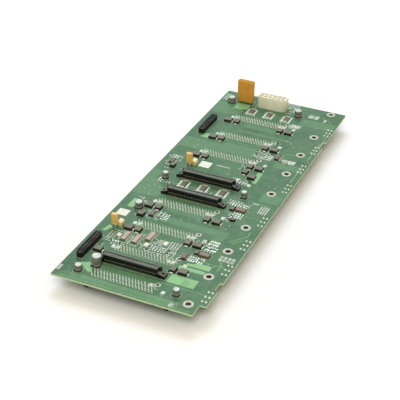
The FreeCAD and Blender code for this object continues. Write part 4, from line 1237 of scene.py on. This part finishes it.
class BACKPLANE_OT_cable_sockets(bpy.types.Operator):
    """Finish the three cable connectors, their contacts and soldered legs"""
    bl_idname = "backplane.cable_sockets"
    bl_label = "Cable connectors"

    # Upright section of a tongue in millimetres: across from the slot's middle, over the board.
    tongue = [(-0.2, 2.9), (-0.2, 6.75), (-0.08, 6.95), (0.08, 6.95), (0.2, 6.75), (0.2, 2.9)]
    tongue_end = 0.0071  # metres from the connector's ends
    slot_back = 0.0018  # from the slot's middle to the connector's far side
    row_aside = 0.00034  # from the slot's middle
    contact_floor = 0.0028
    half_leg = 0.00025
    leg_inset = 0.0005
    shoulder_inset = 0.0004
    shoulder_floor = 0.0025

    def execute(self, context):
        # The grey top colour of these connectors is a painted sheen.
        plastic = moulded("black_plastic_with_painted_sheen", (0.005, 0.006, 0.005), (0.10, 0.105, 0.095), roughness=0.5,
                          edge=0.0001, painted_top_shading=(0.135, 0.15, 0.13), gloss=0.25)
        contacts = []
        legs = []
        shoulders = []
        tongues = bmesh.new()
        for number, node in enumerate(CABLE_NODES, start=1):
            rounded_copy(node, "cable_socket_%d" % number, plastic, 0.1)
            feet = [box[0].x for box in solid_boxes("cable_contact_legs_%d" % number)]
            low, high = node_box(node)
            first = min(feet) + self.half_leg
            # All three connectors have the same step between contacts.
            step = (max(feet) - min(feet)) / (CABLE_ROW_CONTACTS - 1)
            slot_y = high.y - self.slot_back
            for side in (-self.row_aside, self.row_aside):
                contacts.append(Vector((first, slot_y + side, BOARD_HIGH.z + self.contact_floor)))
            for y in (low.y + self.leg_inset, high.y - self.leg_inset):
                legs.append(Vector((first, y, BOARD_HIGH.z)))
            shoulders.append(Vector((first, low.y + self.shoulder_inset,
                                     BOARD_HIGH.z + self.shoulder_floor)))
            self.add_tongue(tongues, low.x + self.tongue_end, high.x - self.tongue_end, slot_y)
        settle(new_object("cable_socket_tongues", mesh_from(tongues, "cable_socket_tongues", plastic)))
        row = {"Count": CABLE_ROW_CONTACTS, "Step": (step, 0.0, 0.0)}
        bars = row_tree("Slot Contacts", BAR_SIZES, bar_piece, 41)
        lay("cable_socket_contacts", points_object(contacts), bars, dict(row, **{
            "Material": gold(), "Width": 0.0005, "Depth": 0.00022, "Height": 0.0038}))
        pins = row_tree("Soldered Legs", PIN_SIZES, pin_piece, 43, 0.05)
        lay("cable_socket_legs", points_object(legs), pins, dict(row, **{
            "Material": grey_tin(), "Pin radius": 0.00018, "Pin height": 0.0031, "Solder radius": 0.00042,
            "Solder waist": 0.00028, "Solder height": 0.0003}),
            ["cable_contact_legs_1", "cable_contact_legs_2", "cable_contact_legs_3"])
        lay("cable_socket_leg_shoulders", points_object(shoulders), bars, dict(row, **{
            "Material": land_tin(), "Width": 0.00044, "Depth": 0.0004, "Height": 0.00055}))
        return {"FINISHED"}

    def add_tongue(self, shape, left, right, slot_y):
        """Adds a tongue that runs from left to right in the slot at slot_y."""
        ends = [[shape.verts.new((x, slot_y + across / 1000, BOARD_HIGH.z + height / 1000))
                 for across, height in self.tongue] for x in (left, right)]
        shape.faces.new(ends[0])
        shape.faces.new(ends[1][::-1])
        for i in range(len(self.tongue)):
            after = (i + 1) % len(self.tongue)
            shape.faces.new([ends[0][i], ends[1][i], ends[1][after], ends[0][after]])


class BACKPLANE_OT_headers(bpy.types.Operator):
    """Finish the two side headers and the power connector with their pins"""
    bl_idname = "backplane.headers"
    bl_label = "Headers and power connector"

    def execute(self, context):
        plastic = moulded("header_black_plastic", (0.008, 0.008, 0.007), (0.05, 0.05, 0.045),
                          roughness=0.55, gloss=0.25)
        for place in ("near", "far"):
            rounded_copy("side_header_" + place, "header_shroud_" + place, plastic, 0.18)
            finish_node("side_header_pins_" + place, shaded_header_gold())
        # The paler top colour of the nylon is painted top light.
        nylon = moulded("off_white_nylon", (1.0, 0.90, 0.73), (0.97, 0.95, 0.88), roughness=0.45, scale=70.0,
                        bump=0.12, painted_top_shading=(1.0, 0.98, 0.92), dusty=0.05)
        rounded_copy("power_connector", "power_socket_housing", nylon, 0.12)
        finish_node("power_pins", tin())
        return {"FINISHED"}


# ------------------------------------------------------------- the parts
class BACKPLANE_OT_fuses(bpy.types.Operator):
    """Finish the large and small fuses and the film capacitors beside them"""
    bl_idname = "backplane.fuses"
    bl_label = "Fuses and film capacitors"

    def execute(self, context):
        # The orange fuse's darker top colour is painted shade.
        orange = moulded("dipped_orange_epoxy", (0.72, 0.345, 0.062), (0.76, 0.44, 0.10), roughness=0.46,
                         scale=90.0, bump=0.35, edge=0.0006, painted_top_shading=(0.54, 0.29, 0.024), gloss=0.06,
                         dusty=0.03)
        tan = moulded("dipped_tan_epoxy", (0.88, 0.58, 0.17), (0.92, 0.80, 0.52), roughness=0.34, coat=0.2,
                      scale=160.0, bump=0.3, edge=0.0004)
        # The paler top colour of the film capacitors is painted top light.
        cream = moulded("cream_part_moulding", (0.90, 0.76, 0.40), (0.92, 0.85, 0.60), roughness=0.45,
                        painted_top_shading=(0.96, 0.88, 0.62), dusty=0.1)
        rounded_copy("large_fuse", "large_fuse_body", orange, 0.6, 4)
        rounded_copy("small_fuse_near", "small_fuse_body_near", tan, 0.4, 3)
        rounded_copy("small_fuse_middle", "small_fuse_body_middle", tan, 0.4, 3)
        rounded_copy("film_capacitors", "film_capacitor_bodies", cream, 0.3)
        for node in ("large_fuse_leads", "small_fuse_leads"):
            finish_node(node, grey_tin())
        return {"FINISHED"}


class BACKPLANE_OT_cans(bpy.types.Operator):
    """Turn the capacitor cans with their crimped necks and rounded tops"""
    bl_idname = "backplane.cans"
    bl_label = "Capacitor cans"

    def execute(self, context):
        shape = bmesh.new()
        for low, high in solid_boxes("capacitor_cans"):
            radius = (high.x - low.x) * 500
            height = (high.z - low.z) * 1000
            lathe(shape, [
                (0, 0), (radius, 0), (radius, 0.7), (radius - 0.18, 0.9), (radius - 0.3, 1.15),
                (radius - 0.18, 1.4), (radius, 1.6), (radius, height - 0.55), (radius - 0.08, height - 0.28),
                (radius - 0.26, height - 0.08), (radius - 0.55, height), (radius - 0.8, height - 0.04),
                (0, height - 0.04)], middle(low, high, low.z), 40)
        settle(new_object("crimped_cans", mesh_from(shape, "crimped_cans", aluminium())),
               ["capacitor_cans"])
        base = moulded("can_base_black", (0.03, 0.03, 0.028), (0.12, 0.12, 0.11), roughness=0.5)
        rounded_copy("capacitor_bases", "can_base_plates", base, 0.12)
        return {"FINISHED"}


class BACKPLANE_OT_parts(bpy.types.Operator):
    """Finish the moulded diodes, packages, resistors and small blocks"""
    bl_idname = "backplane.parts"
    bl_label = "Surface parts"

    cap_inset = 0.00018  # from a chip's end to the middle of its cap

    def execute(self, context):
        # The paler top colours given to these mouldings are painted sheen on their upward faces.
        chip = moulded("chip_moulding_black", (0.012, 0.010, 0.008), (0.12, 0.115, 0.095), roughness=0.55,
                       bump=0.4, painted_top_shading=(0.19, 0.19, 0.15), gloss=0.3)
        brownish = moulded("chip_moulding_brown", (0.030, 0.022, 0.016), (0.24, 0.21, 0.18), roughness=0.55,
                           bump=0.4, painted_top_shading=(0.20, 0.165, 0.13), gloss=0.3)
        pink = moulded("pink_part_moulding", (0.22, 0.14, 0.11), (0.52, 0.42, 0.37), roughness=0.55,
                       scale=420.0, painted_top_shading=(0.58, 0.47, 0.42), gloss=0.3)
        film = moulded("dark_resistor_film", (0.045, 0.035, 0.022), (0.20, 0.18, 0.12), roughness=0.5,
                       scale=220.0, painted_top_shading=(0.165, 0.148, 0.09), gloss=0.2, dusty=0.08)
        white = moulded("white_part_ceramic", (0.90, 0.92, 0.85), (0.92, 0.92, 0.88), roughness=0.35,
                        dusty=0.1)
        brown = moulded("brown_part_moulding", (0.12, 0.085, 0.055), (0.30, 0.24, 0.18), roughness=0.5,
                        painted_top_shading=(0.23, 0.17, 0.125))
        body = moulded("chip_part_ceramic", (0.16, 0.15, 0.12), (0.35, 0.33, 0.28), roughness=0.45,
                       scale=600.0)
        for node, name, material, slot_name, radius in (
                ("moulded_diodes_right", "diode_bodies_right", chip, "chip_moulding", 0.09),
                ("moulded_diodes_left", "diode_bodies_left", chip, "chip_moulding", 0.09),
                ("terminator_packages", "terminator_bodies", pink, "pink_marked_moulding", 0.12),
                ("logic_packages", "logic_bodies", brownish, "chip_moulding", 0.12),
                ("oscillator_caps", "ceramic_blocks", white, "white_ceramic", 0.2),
                ("brown_blocks", "brown_block_bodies", brown, "brown_moulding", 0.1),
                ("black_blocks", "black_block_bodies", chip, "chip_moulding", 0.1),
                ("strip_resistors", "strip_resistor_films", film, "resistor_film", 0.1)):
            rounded_copy(node, name, material, radius)
        finish_node("strip_resistor_ends", pale_pad())
        finish_node("package_feet", tin())
        finish_node("diode_tabs", tin())
        finish_node("chip_resistors", body)

        # Metal caps over both ends of each chip.
        ends = []
        for low, high in solid_boxes("chip_resistors"):
            x = (low.x + high.x) / 2
            ends += [Vector((x, y, low.z)) for y in (low.y + self.cap_inset, high.y - self.cap_inset)]
        tree = row_tree("Chip Ends", BAR_SIZES, bar_piece, 51, 0.03)
        lay("chip_end_caps", points_object(ends), tree, {
            "Count": 1, "Material": tin(), "Width": 0.00135, "Depth": 0.00052, "Height": 0.00064})
        return {"FINISHED"}


class BACKPLANE_OT_labels(bpy.types.Operator):
    """Leave the two paper labels blank and finish their paper"""
    bl_idname = "backplane.labels"
    bl_label = "Blank labels"

    def execute(self, context):
        paper = paper_finish()
        finish_node("blank_label_near", paper)
        finish_node("blank_label_far", paper)
        return {"FINISHED"}


class BACKPLANE_OT_lamps(bpy.types.Operator):
    """Finish the lamp blocks and turn their domed lenses"""
    bl_idname = "backplane.lamps"
    bl_label = "Lamp blocks"

    def execute(self, context):
        rounded_copy("lamp_blocks", "lamp_block_bodies", black_plastic(), 0.25)
        shape = bmesh.new()
        for low, high in solid_boxes("lamp_lenses"):
            drop = (high.z - low.z) * 1000
            lathe(shape, [(0, 0), (1.5, 0), (1.5, -0.35), (1.35, -0.7), (0.95, -0.95), (0.5, -drop + 0.03),
                          (0, -drop)], middle(low, high, high.z), 24)
        settle(new_object("lamp_domes", mesh_from(shape, "lamp_domes", lens_finish())),
               ["lamp_lenses"])
        return {"FINISHED"}


# ---------------------------------------------------------------- the stage
FLOOR_SEEN = (1.07, 1.07, 1.15, 1.0)
SKY_TINT = (1.10, 1.0, 0.70, 1.0)
SKY_TOWARDS = (-0.30, 0.52, 0.80)
KEY_TINT = (0.80, 0.96, 1.28)
KEY_PLACE = (-0.45, 0.85, 1.15)
KEY_WIDTH = 0.9
FILL_TINT = (1.0, 0.98, 0.94)
FILL_PLACE = (0.35, -0.95, 1.15)
FILL_WIDTH = 0.8
FLOOR_DROP = 0.0002

CAMERA_PLACE = (0.28612, -0.69135, 0.46711)
CAMERA_RIGHT = (0.91199, 0.40976, 0.01933)
CAMERA_UP = (-0.23264, 0.47783, 0.84708)
CAMERA_BACK = (0.33786, -0.77703, 0.53111)
CAMERA_LENS = 95.37


def seen_rays(tree):
    """Value that is 1 for camera, glossy and transmission rays, and 0 for the rest."""
    rays = add_node(tree, "ShaderNodeLightPath").outputs
    seen = maths(tree, "MAXIMUM", rays["Is Camera Ray"], rays["Is Glossy Ray"])
    return maths(tree, "MAXIMUM", seen, rays["Is Transmission Ray"])


def floor_finish():
    """Pale floor that keeps a soft warm shadow and shows white where it is lit."""
    material, tree, surface = start_material("pale_floor")
    mottle = use_group(tree, "Mottle", Scale=3.0, Fine=40.0, Share=0.2)
    base = mix_colour(tree, mottle.outputs["Tone"], (0.97, 0.97, 0.96, 1.0), (0.985, 0.985, 0.975, 1.0))
    tree.links.new(base, surface.inputs["Base Color"])
    surface.inputs["Roughness"].default_value = 0.9
    surface.inputs["Specular IOR Level"].default_value = 0.0
    plain = add_node(tree, "ShaderNodeBsdfDiffuse", {"Color": FLOOR_SEEN})
    both = add_node(tree, "ShaderNodeMixShader", {
        0: seen_rays(tree), 1: surface.outputs["BSDF"], 2: plain.outputs["BSDF"]})
    tree.links.new(both.outputs["Shader"], tree.nodes["Material Output"].inputs["Surface"])
    return material


class BACKPLANE_OT_stage(bpy.types.Operator):
    """Set the floor, the soft light and the camera"""
    bl_idname = "backplane.stage"
    bl_label = "Floor, light and camera"

    def execute(self, context):
        sizes = context.scene.backplane_stage
        half = sizes.floor_size / 2
        floor_z = CAD_BOUNDS[0][2] - FLOOR_DROP
        corners = ((-half, -half), (half, -half), (half, half), (-half, half))
        mesh = bpy.data.meshes.new("floor")
        mesh.from_pydata([(x, y, floor_z) for x, y in corners], [], [(0, 1, 2, 3)])
        mesh.materials.append(floor_finish())
        new_object("floor", mesh)
        self.lamp("key_lamp", KEY_PLACE, KEY_WIDTH, sizes.key_power, KEY_TINT)
        self.lamp("fill_lamp", FILL_PLACE, FILL_WIDTH, sizes.fill_power, FILL_TINT)
        self.sky(sizes)
        self.camera()
        context.scene.view_settings.view_transform = "Standard"
        return {"FINISHED"}

    def sky(self, sizes):
        """Even light that is stronger from above and behind, and plain white where it is seen."""
        world = bpy.data.worlds.new("studio")
        world.use_nodes = True
        bpy.context.scene.world = world
        tree = world.node_tree
        even = tree.nodes["Background"]
        even.inputs["Color"].default_value = SKY_TINT
        towards = add_node(tree, "ShaderNodeTexCoord").outputs["Generated"]
        lit = add_node(tree, "ShaderNodeVectorMath", {0: towards, 1: SKY_TOWARDS}, operation="DOT_PRODUCT")
        strength = add_node(tree, "ShaderNodeMapRange", {
            "Value": lit.outputs["Value"], "From Min": -0.2, "From Max": 0.95,
            "To Min": sizes.sky_low, "To Max": sizes.sky_high})
        tree.links.new(strength.outputs["Result"], even.inputs["Strength"])
        white = add_node(tree, "ShaderNodeBackground", {"Color": (1.0, 1.0, 1.0, 1.0), "Strength": 1.0})
        mixed = add_node(tree, "ShaderNodeMixShader", {
            0: seen_rays(tree), 1: even.outputs["Background"], 2: white.outputs["Background"]})
        tree.links.new(mixed.outputs["Shader"], tree.nodes["World Output"].inputs["Surface"])

    def camera(self):
        """Camera in its fitted place."""
        camera = bpy.data.cameras.new("camera")
        camera.sensor_width = 36.0
        camera.lens = CAMERA_LENS
        camera.clip_start = 0.01
        view = bpy.data.objects.new("camera", camera)
        bpy.context.scene.collection.objects.link(view)
        turn = Matrix((CAMERA_RIGHT, CAMERA_UP, CAMERA_BACK)).transposed().to_4x4()
        view.matrix_world = Matrix.Translation(CAMERA_PLACE) @ turn
        bpy.context.scene.camera = view

    def lamp(self, name, place, size, power, tint):
        """Soft round lamp that shines at the origin."""
        light = bpy.data.lights.new(name, "AREA")
        light.shape = "DISK"
        light.size = size
        light.energy = power
        light.color = tint
        holder = bpy.data.objects.new(name, light)
        holder.location = place
        holder.rotation_euler = Vector(place).to_track_quat("Z", "Y").to_euler()
        bpy.context.scene.collection.objects.link(holder)


# ------------------------------------------------------------------ add-on
class BACKPLANE_PT_panel(bpy.types.Panel):
    """Lists the pieces of the backplane board"""
    bl_idname = "BACKPLANE_PT_panel"
    bl_label = "Drive Backplane Board"
    bl_space_type = "VIEW_3D"
    bl_region_type = "UI"
    bl_category = "Backplane"

    def draw(self, context):
        layout = self.layout
        for group in (context.scene.backplane_finish, context.scene.backplane_solder,
                      context.scene.backplane_stage):
            box = layout.box()
            for key in group.bl_rna.properties.keys():
                if key not in ("rna_type", "name"):
                    box.prop(group, key)
        for operator in OPERATORS:
            layout.operator(operator.bl_idname)


GROUPS = (BackplaneFinish, BackplaneSolder, BackplaneStage)
OPERATORS = (
    BACKPLANE_OT_board,
    BACKPLANE_OT_tracks,
    BACKPLANE_OT_lands,
    BACKPLANE_OT_tails,
    BACKPLANE_OT_pads,
    BACKPLANE_OT_small_parts,
    BACKPLANE_OT_print,
    BACKPLANE_OT_drive_sockets,
    BACKPLANE_OT_cable_sockets,
    BACKPLANE_OT_headers,
    BACKPLANE_OT_fuses,
    BACKPLANE_OT_cans,
    BACKPLANE_OT_parts,
    BACKPLANE_OT_labels,
    BACKPLANE_OT_lamps,
    BACKPLANE_OT_stage,
)


def register():
    for group in GROUPS + OPERATORS + (BACKPLANE_PT_panel,):
        bpy.utils.register_class(group)
    bpy.types.Scene.backplane_finish = PointerProperty(type=BackplaneFinish)
    bpy.types.Scene.backplane_solder = PointerProperty(type=BackplaneSolder)
    bpy.types.Scene.backplane_stage = PointerProperty(type=BackplaneStage)


def unregister():
    del bpy.types.Scene.backplane_stage
    del bpy.types.Scene.backplane_solder
    del bpy.types.Scene.backplane_finish
    for group in reversed(GROUPS + OPERATORS + (BACKPLANE_PT_panel,)):
        bpy.utils.unregister_class(group)


def main():
    register()
    for operator in OPERATORS:
        section, name = operator.bl_idname.split(".")
        getattr(getattr(bpy.ops, section), name)()


if __name__ == "__main__":
    main()
